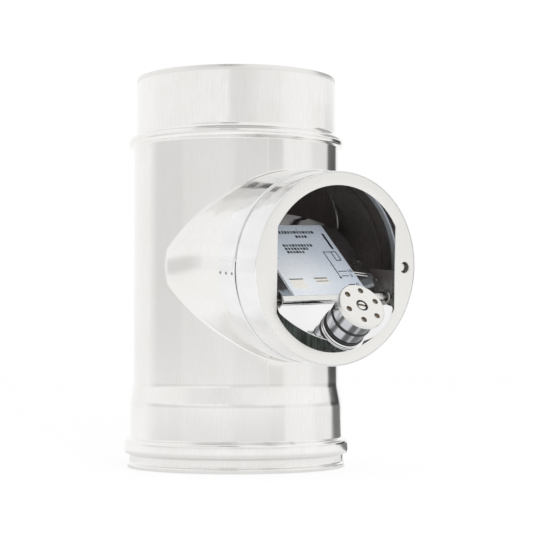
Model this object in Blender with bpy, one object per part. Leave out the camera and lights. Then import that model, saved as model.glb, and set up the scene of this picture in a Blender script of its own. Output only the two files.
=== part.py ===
"""Flue draft regulator: a flue tee with a balanced air flap in its branch.

Metres, +Z up. The flue pipe stands on its lower lip on z = 0, on the z axis.
The branch points along -Y. The stub leaves the pipe level, and the regulator
in its end slopes down by BRANCH_SLOPE.
The regulator's own frame has x across, y into the branch and z up its face.
Its origin is where the branch axis meets the pipe's axis.
"""
import math

import bmesh
import bpy
from mathutils import Matrix, Vector

# Fits and edges that many pieces share
GAP = 0.0003               # air between pieces that touch
SHEET = 0.0008             # sheet thickness of the pipe and the branch
EDGE = 0.0003              # width of a broken edge
CUT_OVER = 0.0010          # how far a cutter passes through
SHARP_ANGLE = math.radians(35.0)

# Flue pipe
PIPE_R = 0.0750            # outer radius of the plain pipe
PIPE_H = 0.2835            # height from lip to spigot rim
SPIGOT_R = 0.0732          # outer radius of the reduced spigot
SPIGOT_Z = 0.2402          # foot of the spigot
SPIGOT_ROUND = 0.0012      # rounding between top bead and spigot
TOP_BEAD_R = 0.0787
TOP_BEAD_Z = 0.2359        # centre height of the top bead
TOP_BEAD_HALF = 0.0036     # half height of the top bead
SOCKET_R = 0.0774          # outer radius of the lower socket
SOCKET_TOP_Z = 0.0465
CONE_TOP_Z = 0.0595        # where the socket's cone meets the plain pipe
SEAL_BEAD_R = 0.0815       # outer radius of the bead that holds the gasket
SEAL_BEAD_Z = 0.0153
SEAL_BEAD_HALF = 0.0058
NECK_R = 0.0778
NECK_LOW_Z = 0.0055
NECK_HIGH_Z = 0.0085
LIP_R = 0.0791
LIP_H = 0.0028
SEAL_DEEP = 0.0048         # the socket's gasket reaches this far inward from the bead
SEAL_LIP_HALF = 0.0022     # half height of the gasket's inner side

# Branch
BRANCH_SLOPE = math.radians(5.2)
BRANCH_Z = 0.1507          # height at which the regulator's axis leaves the pipe's axis
BRANCH_R = 0.0657          # outer radius of the stub's end and the regulator's case
STUB_Z = 0.1430            # height of the stub's own level axis
STUB_ROOT_R = 0.0723       # radius of the stub at the pipe's side
STUB_ROOT_S = 0.0240       # distance of that place from the pipe's axis
STUB_NECK_R = 0.0668       # radius where the stub's taper ends
STUB_NECK_S = 0.0620
STUB_TURN_S = 0.0820       # from here the stub follows the regulator's axis
STUB_S = 0.0880            # end of the stub
DUCT_HOLE_R = 0.0660       # hole in the pipe's side
SLEEVE_S0 = 0.0845
SLEEVE_S1 = 0.1035
CASE_S0 = 0.0895
FACE_S = 0.1281            # front rim of the case
GASKET_LAP = 0.0016        # overlap of the case's gasket on stub and case
GASKET_T = 0.0010
WELD_R = 0.0011
WELD_H = 0.0004
WELD_SIDE = math.radians(183.0)  # place of the spot welds round the sleeve
WELD_EDGE = 0.0023         # distance of the outer welds from the sleeve's edges

# Regulator
REG_TURN = math.radians(2.4)   # how far the regulator is turned in the branch
RING_T = 0.0010            # thickness of the front ring
RING_RECESS = 0.0004       # how far the ring lies behind the rim
MOUTH_R = 0.0561           # radius of the ring's opening
MOUTH_HALF_W = 0.0484      # half width of the opening between its straight sides
SET_HOLE_X = 0.0572        # place of the threaded hole in the ring
SET_HOLE_R = 0.0038
SET_SCREW_R = 0.0022       # flat end of the set screw
SET_SCREW_L = 0.0018
SET_SCREW_SINK = 0.0006    # depth of the screw's end below the rim
PIVOT_BACK = 0.0042        # the flap's pivot lies this far behind the rim
PIVOT_DROP = 0.0200        # and below the branch axis
PIN_R = 0.0012
PIN_PLAY = 0.00006         # radial clearance of the flap's ears on the pins
PIN_FIT = 0.00015          # radial clearance of the pins in the brackets
PIN_END = 0.0010           # length of a pin beyond ear and bracket
EAR_X = 0.0434             # inner face of an ear
EAR_T = 0.0010
EAR_R = 0.0042
EAR_FOOT_B = 0.0030        # where the ear's back bends toward the leaf
EAR_BEND_B = 0.0052
EAR_TOP_B = 0.0140
BRACKET_X = 0.0490
BRACKET_T = 0.0010
BRACKET_FOOT = 0.0050
BRACKET_FOOT_DROP = 0.0340 # lower end of a bracket below the branch axis
BRACKET_HEAD_DROP = 0.0020 # and its upper end
BRACKET_DEEP = 0.0280      # depth of the bracket behind the ring
BRACKET_RIVET_R = 0.0020
BRACKET_RIVET_DEEP = 0.0210
BRACKET_RIVET_DROP = 0.0100
STOP_DEEP = 0.0100         # near side of a rubber stop behind the ring
STOP_DROP = 0.0330         # lower end of a stop below the branch axis
STOP_LONG = 0.0030
STOP_HIGH = 0.0060
STOP_WIDE = 0.0026

# Flap, in its own frame: x across, z up the plate, -y out of the front
FLAP_OPEN = math.radians(52.2)   # lean of the upper leaf from the ring's plane
LEAF_BEND = math.radians(13.0)   # the lower leaf leans less by this
CLOSE_TURN = math.radians(29.0)  # turn from the shown place to closed
LEAF_T = 0.0006
LEAF_HALF_W = 0.0460
LEAF_CLEAR = 0.0006        # air between the closed upper leaf and the gasket
UPPER_FOOT = 0.0020        # reach of the upper leaf below the pivot
EAR_NOTCH_W = 0.0042
EAR_NOTCH_H = 0.0062
LOWER_SET = 0.0014         # the lower leaf's face lies this far behind the pivot
LOWER_TOP = 0.0010
LOWER_R = 0.0550
LOWER_SIDE_AIR = 0.0008    # air between the lower leaf's sides and the ears
LOBE_R = 0.0165            # rounded tab below the weight, which stops on the ring
LEAF_RIVET_R = 0.0019
LEAF_RIVET_X = 0.0425
LEAF_RIVET_B = 0.0385
RIVET_H = 0.0010
LABEL_HALF_W = 0.0330
LABEL_LOW = 0.0020
LABEL_HIGH = 0.0800
LABEL_T = 0.0003
BAR_LOW = 0.0021
BAR_HIGH = 0.0080
BAR_HALF_W = 0.0380
BAR_T = 0.0022

# Adjusting weight, in its own frame: x across, -y along the spindle
KNOB_LEFT = 0.0030         # place of the spindle, left of the flap's middle
KNOB_DROP = 0.0245         # and down the lower leaf from the pivot
SPINDLE_R = 0.0025
SPINDLE_TOP = 0.0225
NUT_R = 0.0046             # corner radius of the nut
NUT_T = 0.0022
DISC_R = 0.0150
DISC_T = 0.0018
BODY_R = 0.0144
BODY_LOW = 0.0050
BODY_HIGH = 0.0241
BORE_R = 0.0063
GROOVE_DEEP = 0.0014
GROOVE_HALF = 0.0012
RUBBER_R = 0.0149
LOW_RING_H = 0.0035        # middle of the rubber ring under the body
LOW_RING_HALF = 0.0011
MID_RING_H = 0.0136        # middle of the rubber ring in the body's groove
HEAD_R = 0.0168
HEAD_LOW = 0.0244
HEAD_TOP = 0.0284
HEAD_ROUND = 0.0006
HEAD_HOLES = 6
HEAD_HOLE_R = 0.0021
HEAD_HOLE_PITCH_R = 0.0119
HEAD_HOLE_TURN = math.radians(12.0)
CORE_R = 0.0060
CORE_PLAY = 0.00008        # radial clearance of the core on the spindle
CORE_INSET = 0.0010        # how far the core's ends lie inside the body
SCREW_R = 0.0039
SCREW_SINK = 0.0004        # depth of the screw's end below the head
SLOT_HALF_W = 0.0006
SLOT_DEEP = 0.0018
SLOT_TURN = math.radians(35.0)

# Faces round each piece
PIPE_SIDES = 60
BRANCH_SIDES = 60
WEIGHT_SIDES = 40
SMALL_SIDES = 18
BEAD_STEPS = 6
STUB_STEPS = 4

# Radii and places that follow from the sizes above
SLEEVE_IN = BRANCH_R + GAP
SLEEVE_OUT = SLEEVE_IN + SHEET
CASE_IN = BRANCH_R - SHEET
GASKET_OUT = CASE_IN - GAP
RING_FRONT = FACE_S - RING_RECESS
RING_BACK = RING_FRONT - RING_T
BRACKET_Y = GAP - RING_BACK           # front face of a bracket, in the regulator's frame
LEAF_EDGE_R = GASKET_OUT - GASKET_T - LEAF_CLEAR
PIVOT_S = FACE_S - PIVOT_BACK
LOWER_HALF_W = EAR_X - LOWER_SIDE_AIR

# Frames
regulator = (Matrix.Translation((0.0, 0.0, BRANCH_Z)) @ Matrix.Rotation(BRANCH_SLOPE, 4, 'X')
             @ Matrix.Rotation(-REG_TURN, 4, 'Y'))
pivot = regulator @ Matrix.Translation((0.0, -PIVOT_S, -PIVOT_DROP))
upper = pivot @ Matrix.Rotation(-FLAP_OPEN, 4, 'X')
lower = pivot @ Matrix.Rotation(-(FLAP_OPEN - LEAF_BEND), 4, 'X')
spindle_base = lower @ Matrix.Translation((-KNOB_LEFT, LOWER_SET, -KNOB_DROP))
set_hole = regulator @ Matrix.Translation((SET_HOLE_X, 0.0, 0.0))

for item in list(bpy.data.objects):
    bpy.data.objects.remove(item, do_unlink=True)


# Materials, each with its colour, metallic value and roughness
def material(name, colour, metallic, roughness):
    mat = bpy.data.materials.new(name)
    mat.use_nodes = True
    shader = mat.node_tree.nodes["Principled BSDF"]
    shader.inputs["Base Color"].default_value = (*colour, 1.0)
    shader.inputs["Metallic"].default_value = metallic
    shader.inputs["Roughness"].default_value = roughness
    return mat


def stainless(name):
    return material(name, (0.62, 0.62, 0.61), 1.0, 0.28)


def mirror_steel(name):
    return material(name, (0.72, 0.73, 0.74), 1.0, 0.12)


def dull_steel(name):
    return material(name, (0.50, 0.50, 0.50), 1.0, 0.40)


def rubber(name):
    return material(name, (0.03, 0.03, 0.03), 0.0, 0.60)


def label_foil(name):
    return material(name, (0.60, 0.67, 0.77), 0.0, 0.45)


# Objects
def link(name, bm, finish, place=Matrix.Identity(4)):
    """Make one named object with its own material from a bmesh."""
    bmesh.ops.recalc_face_normals(bm, faces=bm.faces)
    mesh = bpy.data.meshes.new(name)
    bm.to_mesh(mesh)
    bm.free()
    mesh.shade_smooth()
    mesh.set_sharp_from_angle(angle=SHARP_ANGLE)
    mesh.materials.append(finish(name))
    obj = bpy.data.objects.new(name, mesh)
    obj.matrix_world = place
    bpy.context.scene.collection.objects.link(obj)
    return obj


def cut(obj, bm, place):
    """Cut a shape out of an object."""
    tool = link(f"{obj.name}_cutter", bm, dull_steel, place)
    tool.hide_render = True
    tool.display_type = 'WIRE'
    mod = obj.modifiers.new("cut", 'BOOLEAN')
    mod.operation = 'DIFFERENCE'
    mod.solver = 'EXACT'
    mod.object = tool


# Shapes
def loft(rings, closed=True):
    """Join equal rings of points; closed joins the last to the first, else both are capped."""
    bm = bmesh.new()
    rows = [[bm.verts.new(point) for point in ring] for ring in rings]
    count = len(rows[0])
    following = rows[1:] + rows[:1] if closed else rows[1:]
    for low, high in zip(rows, following):
        for i in range(count):
            j = (i + 1) % count
            bm.faces.new((low[i], low[j], high[j], high[i]))
    if not closed:
        bm.faces.new(list(reversed(rows[0])))
        bm.faces.new(rows[-1])
    return bm


def circle(radius, count):
    step = 2.0 * math.pi / count
    return [(radius * math.cos(step * i), radius * math.sin(step * i)) for i in range(count)]


def turned(profile, count, axis, closed=True):
    """Turn (radius, height) points about +Z, about -Y or about +X."""
    rings = []
    for radius, height in profile:
        ring = circle(radius, count)
        if axis == 'Z':
            rings.append([(a, b, height) for a, b in ring])
        elif axis == 'Y':
            rings.append([(a, -height, b) for a, b in ring])
        else:
            rings.append([(height, a, b) for a, b in ring])
    return loft(rings, closed)


def rod(radius, low, high, count, axis):
    return turned([(radius, low), (radius, high)], count, axis, closed=False)


def band(inside, outside, low, high, count):
    """A plain ring about -Y between two radii and two heights."""
    return turned([(inside, low), (outside, low), (outside, high), (inside, high)], count, 'Y')


def rivet(radius, axis):
    """A low rivet head that lies GAP above its place's origin."""
    return turned([(radius, GAP), (radius - EDGE, RIVET_H - EDGE), (0.5 * radius, RIVET_H)],
                  SMALL_SIDES, axis, closed=False)


def sheet(outline, low, high, plane):
    """Extrude an outline between two values of the third coordinate."""
    if plane == 'XZ':
        rings = [[(a, t, b) for a, b in outline] for t in (low, high)]
    elif plane == 'YZ':
        rings = [[(t, a, b) for a, b in outline] for t in (low, high)]
    else:
        rings = [[(a, b, t) for a, b in outline] for t in (low, high)]
    return loft(rings, closed=False)


def rectangle(a0, a1, b0, b1):
    return [(a0, b0), (a1, b0), (a1, b1), (a0, b1)]


def offset_inward(line, thickness):
    """Shift an open (radius, height) line inward by a thickness, square to the line."""
    shifted = []
    last = len(line) - 1
    for i, (r, z) in enumerate(line):
        if i in (0, last):
            shifted.append((r - thickness, z))
            continue
        d0 = Vector((r - line[i - 1][0], z - line[i - 1][1])).normalized()
        d1 = Vector((line[i + 1][0] - r, line[i + 1][1] - z)).normalized()
        side = Vector((-(d0.y + d1.y), d0.x + d1.x)).normalized()
        reach = thickness / max(0.5, side.dot(Vector((-d0.y, d0.x))))
        shifted.append((r + side.x * reach, z + side.y * reach))
    return shifted


# Flue pipe
def bead(base_r, top_r, z, half):
    """Points of a rounded bead, from its foot to its head."""
    turns = [math.pi * i / BEAD_STEPS for i in range(1, BEAD_STEPS)]
    return [(base_r + (top_r - base_r) * math.sin(t) ** 0.8, z - half * math.cos(t)) for t in turns]


def seal_bead():
    return bead(NECK_R, SEAL_BEAD_R, SEAL_BEAD_Z, SEAL_BEAD_HALF)


def pipe_profile():
    """The pipe's outer line from its lip to the spigot's rim."""
    return [(LIP_R, 0.0), (LIP_R, LIP_H), (NECK_R, NECK_LOW_Z), (NECK_R, NECK_HIGH_Z),
            *seal_bead(),
            (SOCKET_R, SEAL_BEAD_Z + SEAL_BEAD_HALF + EDGE), (SOCKET_R, SOCKET_TOP_Z),
            (PIPE_R, CONE_TOP_Z), (PIPE_R, TOP_BEAD_Z - TOP_BEAD_HALF),
            *bead(PIPE_R, TOP_BEAD_R, TOP_BEAD_Z, TOP_BEAD_HALF),
            (SPIGOT_R + SPIGOT_ROUND, SPIGOT_Z - EDGE), (SPIGOT_R, SPIGOT_Z + SPIGOT_ROUND),
            (SPIGOT_R, PIPE_H)]


def flue_pipe():
    outer = pipe_profile()
    inner = offset_inward(outer, SHEET)
    pipe = link("flue_pipe", turned(outer + inner[::-1], PIPE_SIDES, 'Z'), stainless)
    cut(pipe, rod(DUCT_HOLE_R, 0.5 * PIPE_R, PIPE_R + SHEET, BRANCH_SIDES, 'Y'),
        Matrix.Translation((0.0, 0.0, STUB_Z)))


def socket_gasket():
    """The gasket fills the bead's hollow: its back is the bead's inner line, set off by GAP."""
    hollow = offset_inward(offset_inward(seal_bead(), SHEET), GAP)
    back = hollow[1:-1]
    lip_r = SEAL_BEAD_R - SHEET - GAP - SEAL_DEEP
    front = [(lip_r, SEAL_BEAD_Z + SEAL_LIP_HALF), (lip_r, SEAL_BEAD_Z - SEAL_LIP_HALF)]
    link("socket_gasket", turned(back + front, PIPE_SIDES, 'Z'), rubber)


# Branch
def smooth(t):
    t = min(1.0, max(0.0, t))
    return t * t * (3.0 - 2.0 * t)


def stub_radius(s):
    """Outer radius of the level stub at a distance from the pipe's axis."""
    t = min(1.0, max(0.0, (s - STUB_ROOT_S) / (STUB_NECK_S - STUB_ROOT_S)))
    return STUB_ROOT_R + (STUB_NECK_R - STUB_ROOT_R) * t


def stub_root(angle, inset):
    """Distance from the pipe's axis at which the stub's wall meets the pipe's skin."""
    low = 0.0
    high = PIPE_R
    for _ in range(40):
        mid = 0.5 * (low + high)
        across = (stub_radius(mid) - inset) * math.cos(angle)
        if math.hypot(across, mid) < PIPE_R + GAP:
            low = mid
        else:
            high = mid
    return high


def stub_line(angle, inset):
    """One line along the stub: level at its root, and bent into the regulator's tube."""
    root = stub_root(angle, inset)
    bend = STUB_TURN_S - root
    line = []
    for s in [root + bend * k / STUB_STEPS for k in range(STUB_STEPS + 1)] + [STUB_S]:
        r = stub_radius(s) - inset
        level = Vector((r * math.cos(angle), -s, STUB_Z + r * math.sin(angle)))
        r = BRANCH_R - inset
        sloped = regulator @ Vector((r * math.cos(angle), -s, r * math.sin(angle)))
        line.append(level.lerp(sloped, smooth((s - root) / bend)))
    return line


def branch_stub():
    """Lines along the outer and back along the inner wall, gathered into rings."""
    angles = [2.0 * math.pi * i / BRANCH_SIDES for i in range(BRANCH_SIDES)]
    lines = [stub_line(a, 0.0) + stub_line(a, SHEET)[::-1] for a in angles]
    link("branch_stub", loft(list(zip(*lines))), stainless)


def branch_sleeve():
    link("branch_sleeve", band(SLEEVE_IN, SLEEVE_OUT, SLEEVE_S0, SLEEVE_S1, BRANCH_SIDES),
         mirror_steel, regulator)


def spot_weld(name, s):
    place = (regulator @ Matrix.Rotation(-WELD_SIDE, 4, 'Y')
             @ Matrix.Translation((SLEEVE_OUT + GAP, -s, 0.0)))
    profile = [(WELD_R, 0.0), (WELD_R - EDGE, WELD_H - EDGE / 3.0), (0.5 * WELD_R, WELD_H)]
    link(name, turned(profile, SMALL_SIDES // 2, 'X', closed=False), dull_steel, place)


def regulator_case():
    profile = [(CASE_IN, CASE_S0), (BRANCH_R, CASE_S0), (BRANCH_R, FACE_S - EDGE),
               (BRANCH_R - EDGE, FACE_S), (CASE_IN, FACE_S)]
    link("regulator_case", turned(profile, BRANCH_SIDES, 'Y'), mirror_steel, regulator)


def case_gasket():
    link("case_gasket", band(GASKET_OUT - GASKET_T, GASKET_OUT, STUB_S - GASKET_LAP,
                             CASE_S0 + GASKET_LAP, BRANCH_SIDES), rubber, regulator)


# Front ring
def mouth_radius(angle):
    """The opening's edge is a circle, cut straight at both sides."""
    across = abs(math.cos(angle))
    return min(MOUTH_R, MOUTH_HALF_W / across) if across * MOUTH_R > MOUTH_HALF_W else MOUTH_R


def front_ring():
    corner = math.acos(MOUTH_HALF_W / MOUTH_R)
    even = [2.0 * math.pi * i / BRANCH_SIDES for i in range(BRANCH_SIDES)]
    corners = [corner, math.pi - corner, math.pi + corner, 2.0 * math.pi - corner]
    angles = sorted(even + corners)
    rings = []
    for mouth, s in ((False, RING_FRONT), (True, RING_FRONT), (True, RING_BACK), (False, RING_BACK)):
        radii = [mouth_radius(a) if mouth else GASKET_OUT for a in angles]
        rings.append([(r * math.cos(a), -s, r * math.sin(a)) for r, a in zip(radii, angles)])
    ring = link("front_ring", loft(rings), stainless, regulator)
    cut(ring, rod(SET_HOLE_R, RING_BACK - CUT_OVER, FACE_S + CUT_OVER, SMALL_SIDES, 'Y'), set_hole)


def set_screw():
    top = FACE_S - SET_SCREW_SINK
    profile = [(SET_HOLE_R - GAP, top - SET_SCREW_L), (SET_HOLE_R - GAP, top - EDGE), (SET_SCREW_R, top)]
    link("set_screw", turned(profile, SMALL_SIDES, 'Y', closed=False), dull_steel, set_hole)


# Brackets, pins, rivets and stops: sign is -1 on the left and 1 on the right
def bracket(name, sign):
    web_x = sign * (BRACKET_X + BRACKET_T)
    foot_x = sign * (BRACKET_X + BRACKET_FOOT)
    outline = [(sign * BRACKET_X, BRACKET_Y), (foot_x, BRACKET_Y), (foot_x, BRACKET_Y + BRACKET_T),
               (web_x, BRACKET_Y + BRACKET_T), (web_x, BRACKET_Y + BRACKET_DEEP),
               (sign * BRACKET_X, BRACKET_Y + BRACKET_DEEP)]
    obj = link(name, sheet(outline, -BRACKET_FOOT_DROP, -BRACKET_HEAD_DROP, 'XY'), mirror_steel, regulator)
    cut(obj, rod(PIN_R + PIN_FIT, sign * (BRACKET_X - CUT_OVER),
                 sign * (BRACKET_X + BRACKET_T + CUT_OVER), SMALL_SIDES, 'X'), pivot)


def pivot_pin(name, sign):
    tip = EAR_X - PIN_END
    profile = [(PIN_R - EDGE, tip), (PIN_R, tip + EDGE), (PIN_R, BRACKET_X + BRACKET_T + PIN_END)]
    link(name, turned([(r, sign * x) for r, x in profile], SMALL_SIDES, 'X', closed=False),
         dull_steel, pivot)


def bracket_rivet(name, sign):
    turn = math.pi if sign > 0 else 0.0
    spot = Vector((sign * BRACKET_X, BRACKET_Y + BRACKET_RIVET_DEEP, -BRACKET_RIVET_DROP))
    link(name, rivet(BRACKET_RIVET_R, 'X'), dull_steel,
         regulator @ Matrix.Translation(spot) @ Matrix.Rotation(turn, 4, 'Z'))


def opening_stop(name, sign):
    near = BRACKET_Y + STOP_DEEP
    outline = rectangle(near, near + STOP_LONG, -STOP_DROP, STOP_HIGH - STOP_DROP)
    face = BRACKET_X - GAP
    link(name, sheet(outline, sign * (face - STOP_WIDE), sign * face, 'YZ'), rubber, regulator)


# Flap
def upper_edge(x):
    """When the flap is closed, this edge follows a circle about the branch axis."""
    return (math.sqrt(LEAF_EDGE_R ** 2 - x ** 2) + PIVOT_DROP) / math.cos(FLAP_OPEN - CLOSE_TURN)


def upper_leaf():
    notch_x = LEAF_HALF_W - EAR_NOTCH_W
    outline = [(-LEAF_HALF_W, EAR_NOTCH_H), (-notch_x, EAR_NOTCH_H), (-notch_x, -UPPER_FOOT),
               (notch_x, -UPPER_FOOT), (notch_x, EAR_NOTCH_H), (LEAF_HALF_W, EAR_NOTCH_H)]
    steps = 24
    for i in range(steps + 1):
        x = LEAF_HALF_W * math.cos(math.pi * i / steps)
        outline.append((x, upper_edge(x)))
    link("upper_leaf", sheet(outline, 0.0, LEAF_T, 'XZ'), mirror_steel, upper)


def label_plate():
    outline = rectangle(-LABEL_HALF_W, LABEL_HALF_W, LABEL_LOW, LABEL_HIGH)
    link("label_plate", sheet(outline, -GAP - LABEL_T, -GAP, 'XZ'), label_foil, upper)


def joint_bar():
    outline = rectangle(-BAR_HALF_W, BAR_HALF_W, BAR_LOW, BAR_HIGH)
    low = LEAF_T + GAP
    link("joint_bar", sheet(outline, low, low + BAR_T, 'XZ'), dull_steel, upper)


def flap_ear(name, sign):
    steps = 12
    turns = [math.pi * (0.5 - i / steps) for i in range(steps + 1)]
    outline = [(EAR_R * math.sin(t), -EAR_R * math.cos(t)) for t in turns]
    back = LEAF_T + GAP
    outline += [(-EAR_R, EAR_FOOT_B), (back, EAR_BEND_B), (back, EAR_TOP_B), (EAR_R, EAR_TOP_B)]
    obj = link(name, sheet(outline, sign * EAR_X, sign * (EAR_X + EAR_T), 'YZ'), dull_steel, upper)
    cut(obj, rod(PIN_R + PIN_PLAY, sign * (EAR_X - CUT_OVER), sign * (EAR_X + EAR_T + CUT_OVER),
                 SMALL_SIDES, 'X'), upper)


def leaf_rivet(name, sign):
    link(name, rivet(LEAF_RIVET_R, 'Y'), dull_steel,
         upper @ Matrix.Translation((sign * LEAF_RIVET_X, 0.0, LEAF_RIVET_B)))


def lower_edge(x):
    """A circle about the branch axis when closed, with a lobe below the weight."""
    edge = PIVOT_DROP - math.sqrt(LOWER_R ** 2 - x ** 2)
    from_knob = x + KNOB_LEFT
    if abs(from_knob) < LOBE_R:
        edge = min(edge, -KNOB_DROP - math.sqrt(LOBE_R ** 2 - from_knob ** 2))
    return edge


def lower_leaf():
    steps = 48
    outline = []
    for i in range(steps + 1):
        x = LOWER_HALF_W * (2.0 * i / steps - 1.0)
        outline.append((x, lower_edge(x)))
    outline += [(LOWER_HALF_W, LOWER_TOP), (-LOWER_HALF_W, LOWER_TOP)]
    link("lower_leaf", sheet(outline, LOWER_SET, LOWER_SET + LEAF_T, 'XZ'), mirror_steel, lower)


# Adjusting weight
def weight_disc():
    profile = [(SPINDLE_R + GAP, GAP), (DISC_R, GAP), (DISC_R, DISC_T - EDGE), (DISC_R - EDGE, DISC_T),
               (SPINDLE_R + GAP, DISC_T)]
    link("weight_disc", turned(profile, WEIGHT_SIDES, 'Y'), mirror_steel, spindle_base)


def spindle():
    profile = [(SPINDLE_R - EDGE, GAP), (SPINDLE_R, GAP + EDGE), (SPINDLE_R, SPINDLE_TOP - EDGE),
               (SPINDLE_R - EDGE, SPINDLE_TOP)]
    link("spindle", turned(profile, SMALL_SIDES, 'Y', closed=False), dull_steel, spindle_base)


def spindle_nut():
    low = LEAF_T + GAP
    link("spindle_nut", sheet(circle(NUT_R, 6), low, low + NUT_T, 'XZ'), dull_steel, spindle_base)


def weight_core():
    link("weight_core", band(SPINDLE_R + CORE_PLAY, CORE_R, BODY_LOW + CORE_INSET,
                             BODY_HIGH - CORE_INSET, SMALL_SIDES), dull_steel, spindle_base)


def weight_body():
    groove_r = BODY_R - GROOVE_DEEP
    groove_low = MID_RING_H - GROOVE_HALF
    groove_high = MID_RING_H + GROOVE_HALF
    profile = [(BORE_R, BODY_LOW), (BODY_R - EDGE, BODY_LOW), (BODY_R, BODY_LOW + EDGE),
               (BODY_R, groove_low), (groove_r, groove_low), (groove_r, groove_high),
               (BODY_R, groove_high), (BODY_R, BODY_HIGH), (BORE_R, BODY_HIGH)]
    link("weight_body", turned(profile, WEIGHT_SIDES, 'Y'), mirror_steel, spindle_base)


def rubber_ring(name, inside, outside, height, half):
    profile = [(inside, height - half), (outside - EDGE, height - half), (outside, height - half + EDGE),
               (outside, height + half - EDGE), (outside - EDGE, height + half), (inside, height + half)]
    link(name, turned(profile, WEIGHT_SIDES, 'Y'), rubber, spindle_base)


def weight_head():
    inside = SCREW_R + GAP
    profile = [(inside, HEAD_LOW), (HEAD_R - EDGE, HEAD_LOW), (HEAD_R, HEAD_LOW + EDGE),
               (HEAD_R, HEAD_TOP - HEAD_ROUND), (HEAD_R - HEAD_ROUND, HEAD_TOP), (inside, HEAD_TOP)]
    head = link("weight_head", turned(profile, WEIGHT_SIDES, 'Y'), stainless, spindle_base)
    for i in range(HEAD_HOLES):
        angle = HEAD_HOLE_TURN + 2.0 * math.pi * i / HEAD_HOLES
        spot = Vector((HEAD_HOLE_PITCH_R * math.cos(angle), 0.0, HEAD_HOLE_PITCH_R * math.sin(angle)))
        cut(head, rod(HEAD_HOLE_R, HEAD_LOW - CUT_OVER, HEAD_TOP + CUT_OVER, SMALL_SIDES, 'Y'),
            spindle_base @ Matrix.Translation(spot))


def weight_screw():
    top = HEAD_TOP - SCREW_SINK
    profile = [(SCREW_R - EDGE, HEAD_LOW), (SCREW_R, HEAD_LOW + EDGE), (SCREW_R, top - EDGE),
               (SCREW_R - EDGE, top)]
    screw = link("weight_screw", turned(profile, SMALL_SIDES, 'Y', closed=False), dull_steel,
                 spindle_base)
    reach = SCREW_R + CUT_OVER
    cut(screw, sheet(rectangle(-SLOT_HALF_W, SLOT_HALF_W, -reach, reach), -top - CUT_OVER,
                     -top + SLOT_DEEP, 'XZ'), spindle_base @ Matrix.Rotation(SLOT_TURN, 4, 'Y'))


flue_pipe()
socket_gasket()
branch_stub()
branch_sleeve()
spot_weld("spot_weld_rear", SLEEVE_S0 + WELD_EDGE)
spot_weld("spot_weld_mid", 0.5 * (SLEEVE_S0 + SLEEVE_S1))
spot_weld("spot_weld_front", SLEEVE_S1 - WELD_EDGE)
regulator_case()
case_gasket()
front_ring()
set_screw()
for side, sign in (("left", -1.0), ("right", 1.0)):
    bracket(f"bracket_{side}", sign)
    pivot_pin(f"pivot_pin_{side}", sign)
    bracket_rivet(f"bracket_rivet_{side}", sign)
    opening_stop(f"opening_stop_{side}", sign)
    flap_ear(f"flap_ear_{side}", sign)
    leaf_rivet(f"leaf_rivet_{side}", sign)
upper_leaf()
label_plate()
joint_bar()
lower_leaf()
weight_disc()
spindle()
spindle_nut()
weight_core()
weight_body()
rubber_ring("weight_ring_low", BORE_R, RUBBER_R, LOW_RING_H, LOW_RING_HALF)
rubber_ring("weight_ring_mid", BODY_R - GROOVE_DEEP + GAP, BODY_R + GAP, MID_RING_H, GROOVE_HALF - GAP)
weight_head()
weight_screw()
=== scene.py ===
"""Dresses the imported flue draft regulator: smooth shapes, finishes, a plain studio and the camera.

Metres, +Z up. The flue pipe stands on z = 0 round the z axis, and its branch points along -Y.
The regulator's own frame has x across, y into the branch and z up its face.
"""
import math
from collections import namedtuple

import bmesh
import bpy
import numpy as np
from bpy.props import FloatProperty, FloatVectorProperty, PointerProperty
from mathutils import Matrix, Vector


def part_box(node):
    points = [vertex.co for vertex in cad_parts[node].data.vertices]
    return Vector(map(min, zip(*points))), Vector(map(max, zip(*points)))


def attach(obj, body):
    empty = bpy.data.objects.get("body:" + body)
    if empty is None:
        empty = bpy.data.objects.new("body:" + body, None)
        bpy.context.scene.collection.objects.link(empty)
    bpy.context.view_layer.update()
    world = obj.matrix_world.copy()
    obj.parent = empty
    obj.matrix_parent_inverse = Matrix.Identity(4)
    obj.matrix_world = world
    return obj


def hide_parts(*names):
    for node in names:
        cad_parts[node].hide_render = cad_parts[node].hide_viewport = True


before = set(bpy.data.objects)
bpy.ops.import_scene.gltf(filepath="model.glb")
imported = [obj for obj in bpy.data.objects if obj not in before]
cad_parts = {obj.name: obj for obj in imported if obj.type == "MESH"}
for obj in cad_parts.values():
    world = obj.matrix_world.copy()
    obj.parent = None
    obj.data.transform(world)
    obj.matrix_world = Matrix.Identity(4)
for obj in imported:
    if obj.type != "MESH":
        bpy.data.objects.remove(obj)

bl_info = {
    "name": "Flue draft regulator",
    "version": (1, 0, 0),
    "blender": (4, 5, 0),
    "location": "View3D > Sidebar > Regulator",
    "description": "Builds the visible pieces of a flue tee with a balanced draft regulator",
    "category": "Add Mesh",
}

# The camera was fitted to the edges of the flue pipe.
CAMERA_PLACE = (-0.63467, -1.00530, 0.0877)
CAMERA_TURN = (math.radians(92.804), 0.0, math.radians(-33.342))
LAMP_PLACE = (-0.45, -1.50, 0.54)
LAMP_AIM = (0.0, -0.12, 0.15)
# The studio's greys are counted from this fixed bearing, and stay where they are in the room in every view.
VIEW_BEARING = math.atan2(CAMERA_PLACE[1], CAMERA_PLACE[0])
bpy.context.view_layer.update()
PIPE_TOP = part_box("flue_pipe")[1].z
# Edges that turn by more than this stay sharp.
SHARP = math.radians(38.0)


def linear(text):
    """An sRGB hex colour as linear red, green and blue."""
    srgb = np.array([int(text[i:i + 2], 16) for i in (1, 3, 5)]) / 255.0
    return tuple(np.where(srgb <= 0.04045, srgb / 12.92, ((srgb + 0.055) / 1.055) ** 2.4).tolist())


def length(name, description, default):
    return FloatProperty(name=name, description=description, default=default, unit='LENGTH', precision=5)


def angle(name, description, degrees):
    return FloatProperty(name=name, description=description, default=math.radians(degrees), unit='ROTATION')


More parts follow.
